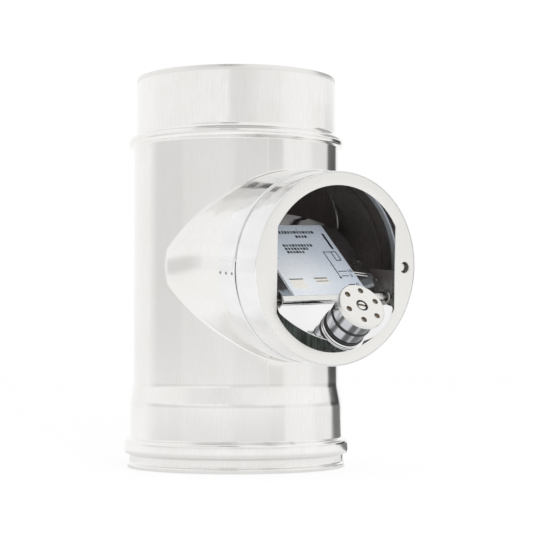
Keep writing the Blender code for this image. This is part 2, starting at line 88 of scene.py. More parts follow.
def colour(name, description, text):
    return FloatVectorProperty(name=name, description=description, default=linear(text), subtype='COLOR',
                               min=0.0, max=1.0)


class PipeSizes(bpy.types.PropertyGroup):
    """Sizes of the flue pipe."""
    radius: length("Pipe", "Outside radius of the plain pipe", 0.0750)
    wall: length("Wall", "Thickness of the sheet", 0.0008)
    height: length("Height", "From the lip to the spigot's rim", PIPE_TOP)
    spigot: length("Spigot", "Outside radius of the reduced end", 0.0732)
    spigot_foot: length("Spigot foot", "Height at which the spigot starts", 0.2402)
    top_bead: length("Top bead", "Outside radius of the bead under the spigot", 0.0787)
    top_bead_z: length("Top bead height", "Height of the middle of that bead", 0.2359)
    top_half: length("Top bead half", "Half of that bead's height", 0.0036)
    socket: length("Socket", "Outside radius of the wide lower end", 0.0774)
    socket_top: length("Socket top", "Height at which the socket's cone starts", 0.0465)
    cone_top: length("Cone top", "Height at which the cone meets the plain pipe", 0.0595)
    seal_bead: length("Seal bead", "Outside radius of the bead that holds the gasket", 0.0815)
    seal_bead_z: length("Seal bead height", "Height of the middle of that bead", 0.0153)
    seal_half: length("Seal bead half", "Half of that bead's height", 0.0058)
    gasket_half: length("Gasket half", "Half of the gasket's height", 0.0024)
    gasket_depth: length("Gasket depth", "Reach of the gasket inwards from the bead", 0.0048)
    neck: length("Neck", "Outside radius between bead and lip", 0.0778)
    lip: length("Lip", "Outside radius of the lower lip", 0.0791)
    lip_height: length("Lip height", "Height of the lower lip", 0.0028)
    seam_turn: angle("Seam", "Where the long weld seam lies round the pipe", 254.4)
    seam_rise: length("Seam rise", "Height of the seam's ridge", 0.00018)
    seam_half: length("Seam half", "Half of the ridge's width", 0.0006)
    # Low down the inside pales by painted light, in streaks, between these heights.
    painted_light_start: length("Bare start", "Height below which less soot lies inside", 0.135)
    painted_light_end: length("Bare end", "Height from which the inside is palest, going down", 0.100)
    painted_light_streak: length("Soot streaks", "Width of the streaks of soot inside", 0.004)


class BranchSizes(bpy.types.PropertyGroup):
    """Sizes of the branch and the tube in it."""
    slope: angle("Slope", "How far the branch points down", 5.2)
    turn: angle("Turn", "How far the regulator is turned in the branch", 2.4)
    height: length("Height", "Height at which the branch axis leaves the pipe's axis", 0.1507)
    radius: length("Radius", "Outside radius of the branch and the case", 0.0657)
    stub_height: length("Stub height", "Height of the stub's own level axis", 0.1430)
    root: length("Root", "Radius where the stub grows out of the pipe", 0.0723)
    root_start: length("Root distance", "Distance of that place from the pipe's axis", 0.024)
    root_flare: length("Root flare", "Rounding between the stub and the pipe", 0.0012)
    neck: length("Neck", "Radius where the stub's taper ends", 0.0668)
    neck_start: length("Neck distance", "Distance of that place from the pipe's axis", 0.062)
    stub_turn: length("Stub turn", "Distance from which the stub follows the regulator's axis", 0.082)
    stub_end: length("Stub end", "Distance at which the stub ends", 0.088)
    sleeve_start: length("Sleeve start", "Rear edge of the sleeve", 0.0845)
    sleeve_end: length("Sleeve end", "Front edge of the sleeve", 0.1035)
    lap: length("Lap", "Height of the step where the sleeve overlaps itself", 0.00025)
    lap_turn: angle("Lap place", "Where that step lies round the sleeve", 176.0)
    lap_end: angle("Lap end", "Where the sleeve is back on its round", 196.0)
    case_start: length("Case start", "Rear edge of the case", 0.0895)
    face: length("Face", "Distance of the case's front rim from the pipe's axis", 0.1281)
    duct_hole: length("Duct hole", "Radius of the hole in the pipe's side", 0.0660)


class RingSizes(bpy.types.PropertyGroup):
    """Sizes of the front ring, its brackets and pins."""
    thickness: length("Thickness", "Thickness of the front ring", 0.0010)
    recess: length("Recess", "How far the ring lies behind the rim", 0.00015)
    gap: length("Gap", "Air between pieces that touch", 0.0003)
    bead_depth: length("Bead depth", "How far the bead inside the case lies behind its rim", 0.0195)
    bead_height: length("Bead height", "Height of that bead", 0.0006)
    bead_width: length("Bead width", "Width of that bead", 0.0045)
    mouth: length("Mouth", "Radius of the opening", 0.0561)
    half_width: length("Half width", "Half of the width between the straight sides", 0.0484)
    screw_x: length("Screw place", "Place of the threaded hole across the ring", 0.0572)
    screw_radius: length("Screw hole", "Radius of the threaded hole", 0.0042)
    pivot_back: length("Pivot depth", "How far the pivot lies behind the rim", 0.0042)
    pivot_drop: length("Pivot drop", "How far the pivot lies below the branch axis", 0.0200)
    pin: length("Pin", "Radius of a pivot pin", 0.0012)
    bracket_x: length("Bracket", "Inner face of a bracket, from the middle", 0.0490)
    bracket_wall: length("Bracket wall", "Thickness of a bracket", 0.0010)
    bracket_foot: length("Bracket foot", "Width of a bracket's foot", 0.0050)
    bracket_low: length("Bracket bottom", "Lower end of a bracket", -0.0340)
    bracket_high: length("Bracket top", "Upper end of a bracket", -0.0020)
    bracket_depth: length("Bracket depth", "Reach of a bracket behind the ring", 0.0280)
    rivet: length("Rivet", "Radius of a rivet's head", 0.0020)
    rivet_rise: length("Rivet rise", "Height of a bracket rivet's head", 0.0011)
    rivet_back: length("Rivet depth", "How far a bracket's rivet lies behind the ring", 0.0210)
    rivet_drop: length("Rivet drop", "How far it lies below the branch axis", 0.0100)


class FlapSizes(bpy.types.PropertyGroup):
    """Sizes of the flap."""
    lean: angle("Lean", "Lean of the upper leaf from the ring's plane", 52.2)
    bend: angle("Bend", "The lower leaf leans less by this", 13.0)
    close_turn: angle("Closing turn", "Turn from the shown place to closed", 29.0)
    thickness: length("Thickness", "Thickness of a leaf", 0.0006)
    edge: length("Edge", "Rounding of a leaf's edges", 0.00015)
    half_width: length("Half width", "Half of the upper leaf's width", 0.0460)
    edge_reach: length("Edge reach", "Reach of the closed leaf from the branch axis", 0.0630)
    low: length("Lower edge", "Lower edge of the upper leaf", -0.0020)
    ear_x: length("Ear", "Inner face of an ear, from the middle", 0.0434)
    notch_width: length("Notch width", "Width of the notch beside an ear", 0.0042)
    notch_height: length("Notch height", "Height of the notch beside an ear", 0.0062)
    strip_height: length("Joint strip", "Height of the bright strip along the joint of the leaves", 0.0040)
    rib: length("Rib", "Height of the two short ribs pressed in the upper leaf", 0.0004)
    rib_half: length("Rib length", "Half of a rib's length", 0.0070)
    rib_across: length("Rib across", "Middle of the ribs across the leaf", 0.0375)
    rib_up: length("Rib up", "Height of the upper rib's middle on the leaf", 0.0250)
    rib_apart: length("Rib spacing", "Distance between the ribs", 0.0026)
    rib_fall: angle("Rib fall", "How far the ribs fall to the right", 11.0)
    rivet_across: length("Leaf rivet across", "Place of a leaf's rivet, from the middle", 0.0425)
    rivet_up: length("Leaf rivet up", "Height of that rivet on the leaf", 0.0385)
    lower_set: length("Lower set", "How far the lower leaf lies behind the pivot", 0.0014)
    lower_top: length("Lower top", "Upper edge of the lower leaf", 0.0010)
    lower_half_width: length("Lower half width", "Half of the lower leaf's width", 0.0468)
    lower_radius: length("Lower radius", "Radius of the lower leaf's edge", 0.0550)
    lobe: length("Lobe", "Radius of the tab below the weight", 0.0165)
    label_half_width: length("Label half width", "Half of the label's width", 0.0312)
    label_low: length("Label bottom", "Lower edge of the label", 0.0025)
    label_high: length("Label top", "Upper edge of the label", 0.0770)
    label_wall: length("Label thickness", "Thickness of the label", 0.0003)
    # Middle and reach of the label's painted highlight, a whiter place on the foil.
    painted_highlight: FloatVectorProperty(name="Pale place", description="Middle of the label's pale place on its leaf",
                              default=(-0.016, 0.0, 0.018), subtype='TRANSLATION')
    painted_highlight_reach: length("Pale reach", "Reach of the label's pale place", 0.042)
    label_number: length("Numbers", "Height of the numbers on the label", 0.0042)


class WeightSizes(bpy.types.PropertyGroup):
    """Sizes of the adjusting weight, measured out from the lower leaf."""
    place_x: length("Across", "Place of the spindle across the flap", -0.0030)
    place_z: length("Along", "Place of the spindle along the lower leaf", -0.0245)
    spindle: length("Spindle", "Radius of the spindle", 0.0025)
    disc: length("Disc", "Radius of the foot disc", 0.0150)
    disc_wall: length("Disc thickness", "Thickness of the foot disc", 0.0018)
    body: length("Body", "Radius of the weight's body", 0.0144)
    body_low: length("Body bottom", "Lower end of the body", 0.0050)
    body_high: length("Body top", "Upper end of the body", 0.0241)
    bore: length("Bore", "Radius of the bore in the body", 0.0063)
    groove_half: length("Groove half", "Half of the groove's width", 0.0012)
    groove_depth: length("Groove depth", "Depth of the groove round the body", 0.0014)
    rubber: length("Rubber ring", "Outside radius of the lower rubber ring", 0.0149)
    rubber_half: length("Rubber half", "Half of the lower rubber ring's height", 0.0011)
    # Width of the painted reflections: light and dark streaks in the body's colour.
    painted_reflection_streak: length("Streaks", "Width of the light and dark streaks on the body", 0.0060)
    low_ring: length("Lower ring", "Place of the lower rubber ring", 0.0035)
    mid_ring: length("Middle ring", "Place of the rubber ring in the groove", 0.0136)
    head: length("Head", "Radius of the head", 0.0167)
    head_low: length("Head bottom", "Lower face of the head", 0.0244)
    head_top: length("Head top", "Upper face of the head", 0.0284)
    head_hole: length("Head holes", "Radius of the holes in the head", 0.0021)
    hole_depth: length("Hole depth", "Depth of the holes in the head", 0.0022)
    hole_circle: length("Hole circle", "Radius of the circle of holes", 0.0119)
    hole_turn: angle("Hole turn", "Where the first hole lies round the head", 12.0)
    screw: length("Screw", "Radius of the slotted screw", 0.0039)
    screw_air: length("Screw air", "Width of the dark groove round the screw's head", 0.0008)
    slot_half: length("Slot half", "Half of the width of the screw's slot", 0.0008)
    slot_depth: length("Slot depth", "Depth of the screw's slot", 0.0018)
    slot_turn: angle("Slot turn", "How far the slot is turned", 105.0)


class FinishColours(bpy.types.PropertyGroup):
    """Colours of the finishes."""
    sheet_light: colour("Sheet, light", "Bright rolled stainless sheet", "#F5F4F3")
    sheet_dark: colour("Sheet, dark", "Its darker grain", "#EFEEEB")
    # The inside's dark colour is painted shade; its pale green colour low down is painted light.
    inside: colour("Inside", "Inner side of the duct, under a film of soot", "#645D5B")
    painted_light_inside_low: colour("Inside, low", "The same low down, where less soot settles", "#DDE8E3")
    # The bead inside the case keeps a pale grey, out of the inside's painted shade.
    inside_pale: colour("Inside, pale", "Bead inside the case, left pale by the soot", "#D8DEE3")
    polished: colour("Polished", "Mirror-finished stainless", "#F3F3F3")
    satin: colour("Satin", "Satin stainless of the ring and the weight's head", "#ECEBE8")
    turned: colour("Turned", "Turned stainless of the weight's body", "#DDE0E4")
    machined: colour("Machined", "Plain machined steel", "#A8A6A2")
    drilled: colour("Drilled", "Brownish steel of drilled holes and slots", "#C3BCB2")
    rubber: colour("Rubber", "Black rubber", "#171717")
    foil: colour("Foil", "Pale blue-silver label foil", "#D5DEEA")
    # The whiter colour of the label's painted highlight.
    foil_painted_highlight: colour("Foil, pale", "Where the label's tint is thin", "#F1F4F7")
    ink: colour("Ink", "Printed marks", "#14161C")
    cream: colour("Cream", "Pale printed fields of the label", "#E9E7DF")
    floor: colour("Floor", "Plain pale floor", "#FAFAFA")


class RegulatorSettings(bpy.types.PropertyGroup):
    """All sizes and colours of the draft regulator."""
    pipe: PointerProperty(type=PipeSizes)
    branch: PointerProperty(type=BranchSizes)
    ring: PointerProperty(type=RingSizes)
    flap: PointerProperty(type=FlapSizes)
    weight: PointerProperty(type=WeightSizes)
    finish: PointerProperty(type=FinishColours)


def settings():
    return bpy.context.scene.draft_regulator


# Frames of the regulator, the flap's leaves and the weight

def regulator_frame():
    """The regulator's own frame, with its origin where the branch axis leaves the pipe's axis."""
    branch = settings().branch
    return (Matrix.Translation((0.0, 0.0, branch.height)) @ Matrix.Rotation(branch.slope, 4, 'X')
            @ Matrix.Rotation(-branch.turn, 4, 'Y'))


def pivot_frame():
    """The same directions, from the middle of the line of the pivot pins."""
    ring = settings().ring
    along = settings().branch.face - ring.pivot_back
    return regulator_frame() @ Matrix.Translation((0.0, -along, -ring.pivot_drop))


def upper_frame():
    """The pivot's frame leant over with the upper leaf, whose face has y = 0."""
    return pivot_frame() @ Matrix.Rotation(-settings().flap.lean, 4, 'X')


def lower_frame():
    """The pivot's frame leant over with the lower leaf."""
    flap = settings().flap
    return pivot_frame() @ Matrix.Rotation(flap.bend - flap.lean, 4, 'X')


def weight_frame():
    """The lower leaf's frame from the foot of the spindle, which points along -y."""
    weight = settings().weight
    place = (weight.place_x, settings().flap.lower_set, weight.place_z)
    return lower_frame() @ Matrix.Translation(place)


# Surfaces

def oblong(left, right, low, high):
    """Corners of an oblong, as (across, up); for a ring's section they are (radius, height)."""
    return np.array([(left, low), (right, low), (right, high), (left, high)], float)


def quarter():
    """A quarter circle in five steps, as the rows 1 - sin a and 1 - cos a."""
    a = np.linspace(0.0, 0.5 * np.pi, 5)
    return np.array([1 - np.sin(a), 1 - np.cos(a)])


def bend(t, a, p, b):
    """The parabola (1-t)^2 a + 2t(1-t) p + t^2 b."""
    return (1 - t) ** 2 * a + 2 * t * (1 - t) * p + t ** 2 * b


def placed(points, matrix):
    """Each point p goes to M p."""
    m = np.array(matrix)
    return points @ m[:3, :3].T + m[:3, 3]


def rounded(corners, reach, steps=6, closed=True):
    """A line whose corners are rounded by parabolas, each drawn in steps from A to B towards its corner.

    A and B lie `reach` from the corner on its two sides, at most 0.48 of a side.
    """
    p = np.array(corners, float)
    reach = np.broadcast_to(np.array(reach, float), len(p))[:, None]
    to_a, to_b = np.roll(p, 1, 0) - p, np.roll(p, -1, 0) - p
    far_a, far_b = (np.linalg.norm(v, axis=1, keepdims=True) for v in (to_a, to_b))
    a = p + to_a / far_a * np.minimum(reach, 0.48 * far_a)
    b = p + to_b / far_b * np.minimum(reach, 0.48 * far_b)
    t = np.linspace(0.0, 1.0, steps)[None, :, None]
    line = bend(t, a[:, None], p[:, None], b[:, None])
    if not closed:
        line[0], line[-1] = p[0], p[-1]
    return line.reshape(-1, 2)


def spun(profile, around, axis, matrix=Matrix.Identity(4)):
    """A point (r, h) of the profile goes to r (cos a, sin a) round the axis and h along it.

    The axis is +Z, -Y or +X of the frame that the matrix gives.
    """
    r, h = profile[:, :1], profile[:, 1:] + 0.0 * around
    c, s = r * np.cos(around), r * np.sin(around)
    order = {'Z': (c, s, h), 'Y': (c, -h, s), 'X': (h, c, s)}[axis]
    return placed(np.stack(order, -1), matrix)


def full_turn(count=288):
    return np.linspace(0.0, 2.0 * np.pi, count, endpoint=False)


def plate_rows(outline, centre, front, back, edge):
    """Rings of a plate: a point is c + k (p - c) of the outline at a depth, k from 0 up to 1 and back to 0.

    Near the rim k falls short by the rounding of the edge. Returns (rows, columns, 3) as across, depth, up.
    """
    out = outline - centre
    far = np.linalg.norm(out, axis=1)[None, :]
    fall, rise = quarter()
    k = np.r_[np.linspace(0.0, 0.9, 7), np.ones(10), np.linspace(0.9, 0.0, 7)]
    short = np.r_[np.zeros(7), edge * fall, edge * rise, np.zeros(7)]
    depth = np.r_[np.full(7, front), front + edge * rise, back - edge * fall, np.full(7, back)]
    scale = k[:, None] - short[:, None] / far
    flat = centre + scale[..., None] * out[None]
    return np.stack([flat[..., 0], np.broadcast_to(depth[:, None], scale.shape), flat[..., 1]], -1)


def strip_rows(path, thickness, low, high):
    """A flat strip carried along a path: each row is the loop p, p + n t at both heights.

    n is square to the path and t is the thickness. The first and last rows fall in one point each, which
    closes the ends.
    """
    along = np.gradient(path, axis=0)
    side = np.stack([-along[:, 1], along[:, 0]], -1) / np.linalg.norm(along, axis=1, keepdims=True)
    other = path + side * thickness
    loops = np.stack([np.c_[path, np.full(len(path), low)], np.c_[other, np.full(len(path), low)],
                      np.c_[other, np.full(len(path), high)], np.c_[path, np.full(len(path), high)]], 1)
    ends = loops[[0, -1]].mean(1, keepdims=True) + np.zeros((2, 4, 3))
    return np.concatenate([ends[:1], loops, ends[1:]])


def surface(name, points, wrap_rows, slots=None):
    """A grid of points (rows, columns, 3) as quads; columns wrap, rows wrap where told; poles are merged."""
    rows, cols = points.shape[:2]
    r = np.arange(rows if wrap_rows else rows - 1)[:, None]
    c = np.arange(cols)[None, :]
    nr, nc = (r + 1) % rows, (c + 1) % cols
    quads = np.stack([r * cols + c, r * cols + nc, nr * cols + nc, nr * cols + c], -1).reshape(-1, 4)
    mesh = bpy.data.meshes.new(name)
    mesh.from_pydata(points.reshape(-1, 3).tolist(), [], quads.tolist())
    grain = mesh.uv_layers.new(name="grain")
    u = np.stack([c + 0 * r, c + 1 + 0 * r, c + 1 + 0 * r, c + 0 * r], -1) / cols
    v = np.stack([r + 0 * c, r + 0 * c, r + 1 + 0 * c, r + 1 + 0 * c], -1) / rows
    grain.data.foreach_set("uv", np.stack([u, v], -1).ravel().astype(np.float32))
    if slots is not None:
        mesh.polygons.foreach_set("material_index", np.repeat(slots[:len(r)], cols).astype(np.int32))
    closed_up(mesh)
    return shown(name, mesh)


def shown(name, data):
    """A new object at the origin, in the scene's own collection."""
    thing = bpy.data.objects.new(name, data)
    bpy.context.scene.collection.objects.link(thing)
    return thing


def closed_up(mesh):
    """Merges the doubles of a mesh and turns its faces outwards."""
    work = bmesh.new()
    work.from_mesh(mesh)
    bmesh.ops.remove_doubles(work, verts=work.verts, dist=1e-6)
    bmesh.ops.dissolve_degenerate(work, edges=work.edges, dist=1e-7)
    bare = [edge for edge in work.edges if not edge.link_faces]
    bmesh.ops.delete(work, geom=bare, context='EDGES')
    bmesh.ops.recalc_face_normals(work, faces=work.faces)
    if work.calc_volume(signed=True) < 0.0:
        bmesh.ops.reverse_faces(work, faces=work.faces)
    work.to_mesh(mesh)
    work.free()


def bored(piece, tool):
    """Cuts the tool's solid out of a piece, and removes the tool."""
    cut = piece.modifiers.new("bore", 'BOOLEAN')
    cut.operation = 'DIFFERENCE'
    cut.solver = 'EXACT'
    cut.object = tool
    graph = bpy.context.evaluated_depsgraph_get()
    mesh = bpy.data.meshes.new_from_object(piece.evaluated_get(graph))
    piece.modifiers.clear()
    piece.data = mesh
    bpy.data.objects.remove(tool, do_unlink=True)


def rod(name, radius, low, high, axis, matrix, count=64):
    """A plain cylinder, as a tool for bored."""
    return surface(name, spun(oblong(0.0, radius, low, high), full_turn(count), axis, matrix), False)


def dress(piece, body, slot, nodes, *makers):
    """Gives a piece its finishes, its body and the CAD nodes that it stands for."""
    for maker in makers:
        piece.data.materials.append(finish(maker))
    piece.data.shade_smooth()
    piece.data.set_sharp_from_angle(angle=SHARP)
    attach(piece, body)
    if nodes:
        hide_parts(*nodes)


def recoat(maker, *nodes):
    """Gives CAD nodes that stay in view a finish."""
    for node in nodes:
        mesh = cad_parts[node].data
        mesh.materials.clear()
        mesh.materials.append(finish(maker))


# Finishes

# Finishes that are made already, by name, and the width of the clouds under every grain in metres.
MADE = {}
CLOUD_WIDTH = 0.03
Coat = namedtuple("Coat", "material tree shader where tint")


def add(tree, kind, inputs=None, **given):
    """Adds a node, sets what is given and fills or links its sockets."""
    node = tree.nodes.new(kind)
    for key, value in given.items():
        setattr(node, key, value)
    for key, value in (inputs or {}).items():
        if isinstance(value, bpy.types.NodeSocket):
            tree.links.new(value, node.inputs[key])
        else:
            node.inputs[key].default_value = value
    return node


def grained(name, metallic, light, dark, rough, grain, depth, stretch=(1.0, 1.0, 1.0), turn=0.0, **sockets):
    """A new material with a fine grain over wide clouds, which change its gloss and colour together.

    The grain has a width and a height in metres, is drawn out by stretch and turned round x. rough is the
    lowest and the highest roughness, and sockets are further constants on the shader.
    """
    material = bpy.data.materials.new(name)
    material.use_nodes = True
    tree = material.node_tree
    shader = tree.nodes["Principled BSDF"]
    for key, value in {"Metallic": metallic, **sockets}.items():
        shader.inputs[key.replace("_", " ")].default_value = value
    where = add(tree, "ShaderNodeTexCoord").outputs["Object"]
    local = add(tree, "ShaderNodeMapping", {"Vector": where, "Rotation": (turn, 0.0, 0.0), "Scale": stretch})
    fine = add(tree, "ShaderNodeTexNoise", {"Vector": local.outputs[0], "Scale": 1.0 / grain, "Detail": 3.0})
    wide = add(tree, "ShaderNodeTexNoise", {"Vector": where, "Scale": 1.0 / CLOUD_WIDTH, "Detail": 2.0})
    both = add(tree, "ShaderNodeMath", {0: fine.outputs["Fac"], 1: wide.outputs["Fac"]}, operation='MULTIPLY')
    span = {0: both.outputs[0], 1: 0.12, 2: 0.42}
    shade = add(tree, "ShaderNodeMapRange", span)
    gloss = add(tree, "ShaderNodeMapRange", {**span, 3: rough[1], 4: rough[0]})
    tint = add(tree, "ShaderNodeMix", {0: shade.outputs[0], 6: (*dark, 1.0), 7: (*light, 1.0)},
               data_type='RGBA').outputs[2]
    bump = add(tree, "ShaderNodeBump", {"Height": fine.outputs["Fac"], "Distance": depth, "Strength": 1.0})
    tree.links.new(tint, shader.inputs["Base Color"])
    tree.links.new(gloss.outputs[0], shader.inputs["Roughness"])
    tree.links.new(bump.outputs[0], shader.inputs["Normal"])
    return Coat(material, tree, shader, where, tint)


def rolled_sheet():
    """Bright rolled stainless sheet, ground in fine rings round the pipe.

    The rings draw its reflections out along the pipe, to upright bands of light, and what shows of the grain
    runs the same way.
    """
    colours = settings().finish
    coat = grained("rolled_stainless_sheet", 1.0, colours.sheet_light, colours.sheet_dark, (0.12, 0.16),
                   0.0012, 0.0000005, (1.0, 1.0, 0.12), Anisotropic=0.60, Anisotropic_Rotation=0.25)
    rings = add(coat.tree, "ShaderNodeTangent", direction_type='RADIAL', axis='Z')
    coat.tree.links.new(rings.outputs[0], coat.shader.inputs["Tangent"])
    return coat.material


def painted_shade_inside():
    """The duct's inner side: dark brown-grey as painted shade, uneven, with a faint sheen.

    Low down, upright streaks of it are paler and a little green: painted light.
    """
    colours, pipe = settings().finish, settings().pipe
    coat = grained("painted_shade_duct_inside", 0.2, colours.inside, 0.6 * colours.inside, (0.26, 0.40),
                   0.002, 0.00001, (1.0, 1.0, 0.1), IOR=1.5)
    tree = coat.tree
    # Painted light: low in the duct, upright streaks turn pale and a little green.
    apart = add(tree, "ShaderNodeSeparateXYZ", {0: coat.where})
    low = add(tree, "ShaderNodeMapRange", {0: apart.outputs[2], 1: pipe.painted_light_start, 2: pipe.painted_light_end})
    local = add(tree, "ShaderNodeMapping", {"Vector": coat.where, "Scale": (1.0, 1.0, 0.15)})
    streaks = add(tree, "ShaderNodeTexNoise", {"Vector": local.outputs[0], "Scale": 1.0 / pipe.painted_light_streak,
                                               "Detail": 2.0})
    bare = add(tree, "ShaderNodeMapRange", {0: streaks.outputs["Fac"], 1: 0.35, 2: 0.65, 3: 0.3, 4: 1.0})
    share = add(tree, "ShaderNodeMath", {0: low.outputs[0], 1: bare.outputs[0]}, operation='MULTIPLY')
    painted_light_low = add(tree, "ShaderNodeMix", {0: share.outputs[0], 6: coat.tint, 7: (*colours.painted_light_inside_low, 1.0)},
               data_type='RGBA')
    tree.links.new(painted_light_low.outputs[2], coat.shader.inputs["Base Color"])
    return coat.material


def pale_inside():
    """The bead inside the case, kept out of the inside's painted shade: grey with a soft shine."""
    tone = settings().finish.inside_pale
    return grained("pale_case_bead", 0.6, tone, 0.8 * tone, (0.26, 0.36), 0.0009, 0.000004,
                   (1.0, 0.2, 1.0)).material


def drawn_sheet():
    """Drawn stainless of the branch stub: soft sheen with faint rings from the drawing tool."""
    colours = settings().finish
    return grained("drawn_stainless_stub", 1.0, colours.sheet_light, colours.sheet_dark, (0.13, 0.17),
                   0.0010, 0.0000012, (0.3, 1.0, 0.3), settings().branch.slope).material


def polished_sheet():
    """Mirror-finished stainless: sharp reflections that waver a little, as thin sheet is never flat."""
    tone = settings().finish.polished
    return grained("polished_stainless", 1.0, tone, 0.93 * tone, (0.04, 0.09), 0.020, 0.00025).material


def satin_steel():
    """Satin stainless of the ring and the head: pale, even, with a very fine brushed grain."""
    tone = settings().finish.satin
    return grained("satin_stainless", 1.0, tone, 0.99 * tone, (0.26, 0.30), 0.0005, 0.0000003,
                   (0.2, 1.0, 1.0)).material


def turned_steel():
    """Lathe-turned stainless of the weight's body: fine rings round it draw every reflection out lengthwise.

    Broad lengthwise streaks of painted reflection make its colour light and dark by turns, for the room that
    the turned and polished side shows.
    """
    tone, place = settings().finish.turned, weight_frame()
    coat = grained("turned_stainless", 1.0, tone, 0.8 * tone, (0.09, 0.15), 0.0009, 0.000002,
                   Anisotropic=0.80, Anisotropic_Rotation=0.25)
    tree = coat.tree
    # Painted reflections: lengthwise streaks that darken the body's colour by turns.
    local = add(tree, "ShaderNodeMapping", {"Vector": coat.where, "Location": place.translation,
                                            "Rotation": place.to_euler(), "Scale": (1.0, 60.0, 1.0)},
                vector_type='TEXTURE')
    broad = add(tree, "ShaderNodeTexNoise", {"Vector": local.outputs[0], "Detail": 1.5,
                                             "Scale": 1.0 / settings().weight.painted_reflection_streak})
    level = add(tree, "ShaderNodeMapRange", {0: broad.outputs["Fac"], 1: 0.42, 2: 0.58, 3: 0.22, 4: 1.0})
    painted_reflections = add(tree, "ShaderNodeMix", {0: 1.0, 6: coat.tint, 7: level.outputs[0]}, data_type='RGBA',
                   blend_type='MULTIPLY')
    rings = add(tree, "ShaderNodeTangent", direction_type='UV_MAP', uv_map="grain")
    tree.links.new(painted_reflections.outputs[2], coat.shader.inputs["Base Color"])
    tree.links.new(rings.outputs[0], coat.shader.inputs["Tangent"])
    return coat.material


def machined_steel():
    """Turned and stamped small steel parts: greyer, with fine tool marks."""
    tone = settings().finish.machined
    return grained("machined_steel", 1.0, tone, 0.7 * tone, (0.22, 0.34), 0.0007, 0.00001).material


def drilled_steel():
    """Steel as the drill or the cutter leaves it: brownish with oil, bright only where it faces the light."""
    tone = settings().finish.drilled
    return grained("drilled_steel", 1.0, tone, 0.8 * tone, (0.18, 0.28), 0.0005, 0.000004).material


def black_rubber():
    """Moulded black rubber: matt, with a slight dusty bloom."""
    tone = settings().finish.rubber
    return grained("black_rubber", 0.0, 2.2 * tone, tone, (0.45, 0.62), 0.0008, 0.00002, IOR=1.52).material


def label_foil():
    """Pale blue-silver printed foil with a soft sheen, and a painted highlight that makes it whiter towards
    its foot.
    """
    colours, flap = settings().finish, settings().flap
    coat = grained("label_foil", 0.15, colours.foil, 0.93 * colours.foil, (0.24, 0.32), 0.012, 0.00006,
                   IOR=1.5)
    tree, middle = coat.tree, upper_frame() @ Vector(flap.painted_highlight)
    # Painted highlight: the foil pales towards a whiter colour round one place on the leaf.
    local = add(tree, "ShaderNodeMapping", {"Vector": coat.where, "Location": -middle / flap.painted_highlight_reach,
                                            "Scale": [1.0 / flap.painted_highlight_reach] * 3})
    ball = add(tree, "ShaderNodeTexGradient", {0: local.outputs[0]}, gradient_type='SPHERICAL')
    pale = add(tree, "ShaderNodeMix", {0: ball.outputs["Fac"], 6: coat.tint, 7: (*colours.foil_painted_highlight, 1.0)},
               data_type='RGBA')
    tree.links.new(pale.outputs[2], coat.shader.inputs["Base Color"])
    return coat.material


def printing_ink():
    """Dark printing ink on the label: flat, with faint patches where it is thin."""
    tone = settings().finish.ink
    return grained("printing_ink", 0.0, 1.6 * tone, tone, (0.40, 0.50), 0.0006, 0.000002, IOR=1.5).material


def cream_print():
    """Pale cream printing on the label, flat and a little uneven."""
    tone = settings().finish.cream
    return grained("cream_print", 0.0, tone, 0.88 * tone, (0.40, 0.50), 0.002, 0.000002, IOR=1.5).material


def finish(maker):
    """The material that a maker makes, made once."""
    key = maker.__name__
    if key not in MADE:
        MADE[key] = maker()
    return MADE[key]


# Pieces

class REGULATOR_OT_pipe(bpy.types.Operator):
    """Builds the flue pipe with its beads, socket, cone, spigot, seam and the hole for the branch"""
    bl_idname = "regulator.pipe"
    bl_label = "Flue pipe"

    def execute(self, context):
        p, b = settings().pipe, settings().branch
        seal, top, steps, seam_span = p.seal_bead_z, p.top_bead_z, 7, 0.022
        seal_crown, top_crown = 0.86 * p.seal_half, 0.72 * p.top_half
        # Each corner has its radius, its height and its rounding, from the lip up to the spigot's rim.
        corners = np.array([
            (p.lip, 0.0, 0.0004), (p.lip, p.lip_height, 0.0007), (p.neck, p.lip_height + 0.0010, 0.0007),
            (p.neck, seal - p.seal_half, 0.0010), (p.seal_bead, seal - seal_crown, 0.0030),
            (p.seal_bead, seal + seal_crown, 0.0030), (p.socket, seal + p.seal_half, 0.0010),
            (p.socket, p.socket_top, 0.0020), (p.radius, p.cone_top, 0.0020),
            (p.radius, top - p.top_half, 0.0008), (p.top_bead, top - top_crown, 0.0024),
            (p.top_bead, top + top_crown, 0.0024), (p.spigot + 0.0010, p.spigot_foot - 0.0002, 0.0008),
            (p.spigot, p.spigot_foot + 0.0020, 0.0010), (p.spigot, p.height - 0.0022, 0.0016),
            (p.spigot - 0.0005, p.height, 0.0003)])
        both = np.concatenate([corners, corners[::-1] - (p.wall, 0.0, 0.0)])
        profile = rounded(both[:, :2], both[:, 2], steps)
        around = np.unique(np.r_[full_turn(), p.seam_turn + np.linspace(-seam_span, seam_span, 15)])
        points = spun(profile, around, 'Z')
        ridge = p.seam_rise * np.exp(-((around - p.seam_turn) * p.radius / p.seam_half) ** 2)
        plain = ((profile[:, 1] > p.cone_top) & (profile[:, 1] < top - p.top_half))[:, None]
        points[..., :2] *= (1.0 + plain * ridge / p.radius)[..., None]
        corner = np.arange(len(profile)) // steps
        slots = np.where(corner >= len(corners), 1, np.where(corner >= len(corners) - 2, 2, 0))
        piece = surface("pipe_shell", points, True, slots)
        level = Matrix.Translation((0.0, 0.0, b.stub_height))
        bored(piece, rod("hole_tool", b.duct_hole, 0.5 * p.radius, p.radius + p.wall, 'Y', level, 160))
        # The pipe's inner side takes the inside's painted shade, and painted light low down.
        dress(piece, "tee", "stainless", ["flue_pipe"], rolled_sheet, painted_shade_inside, satin_steel)
        return {'FINISHED'}


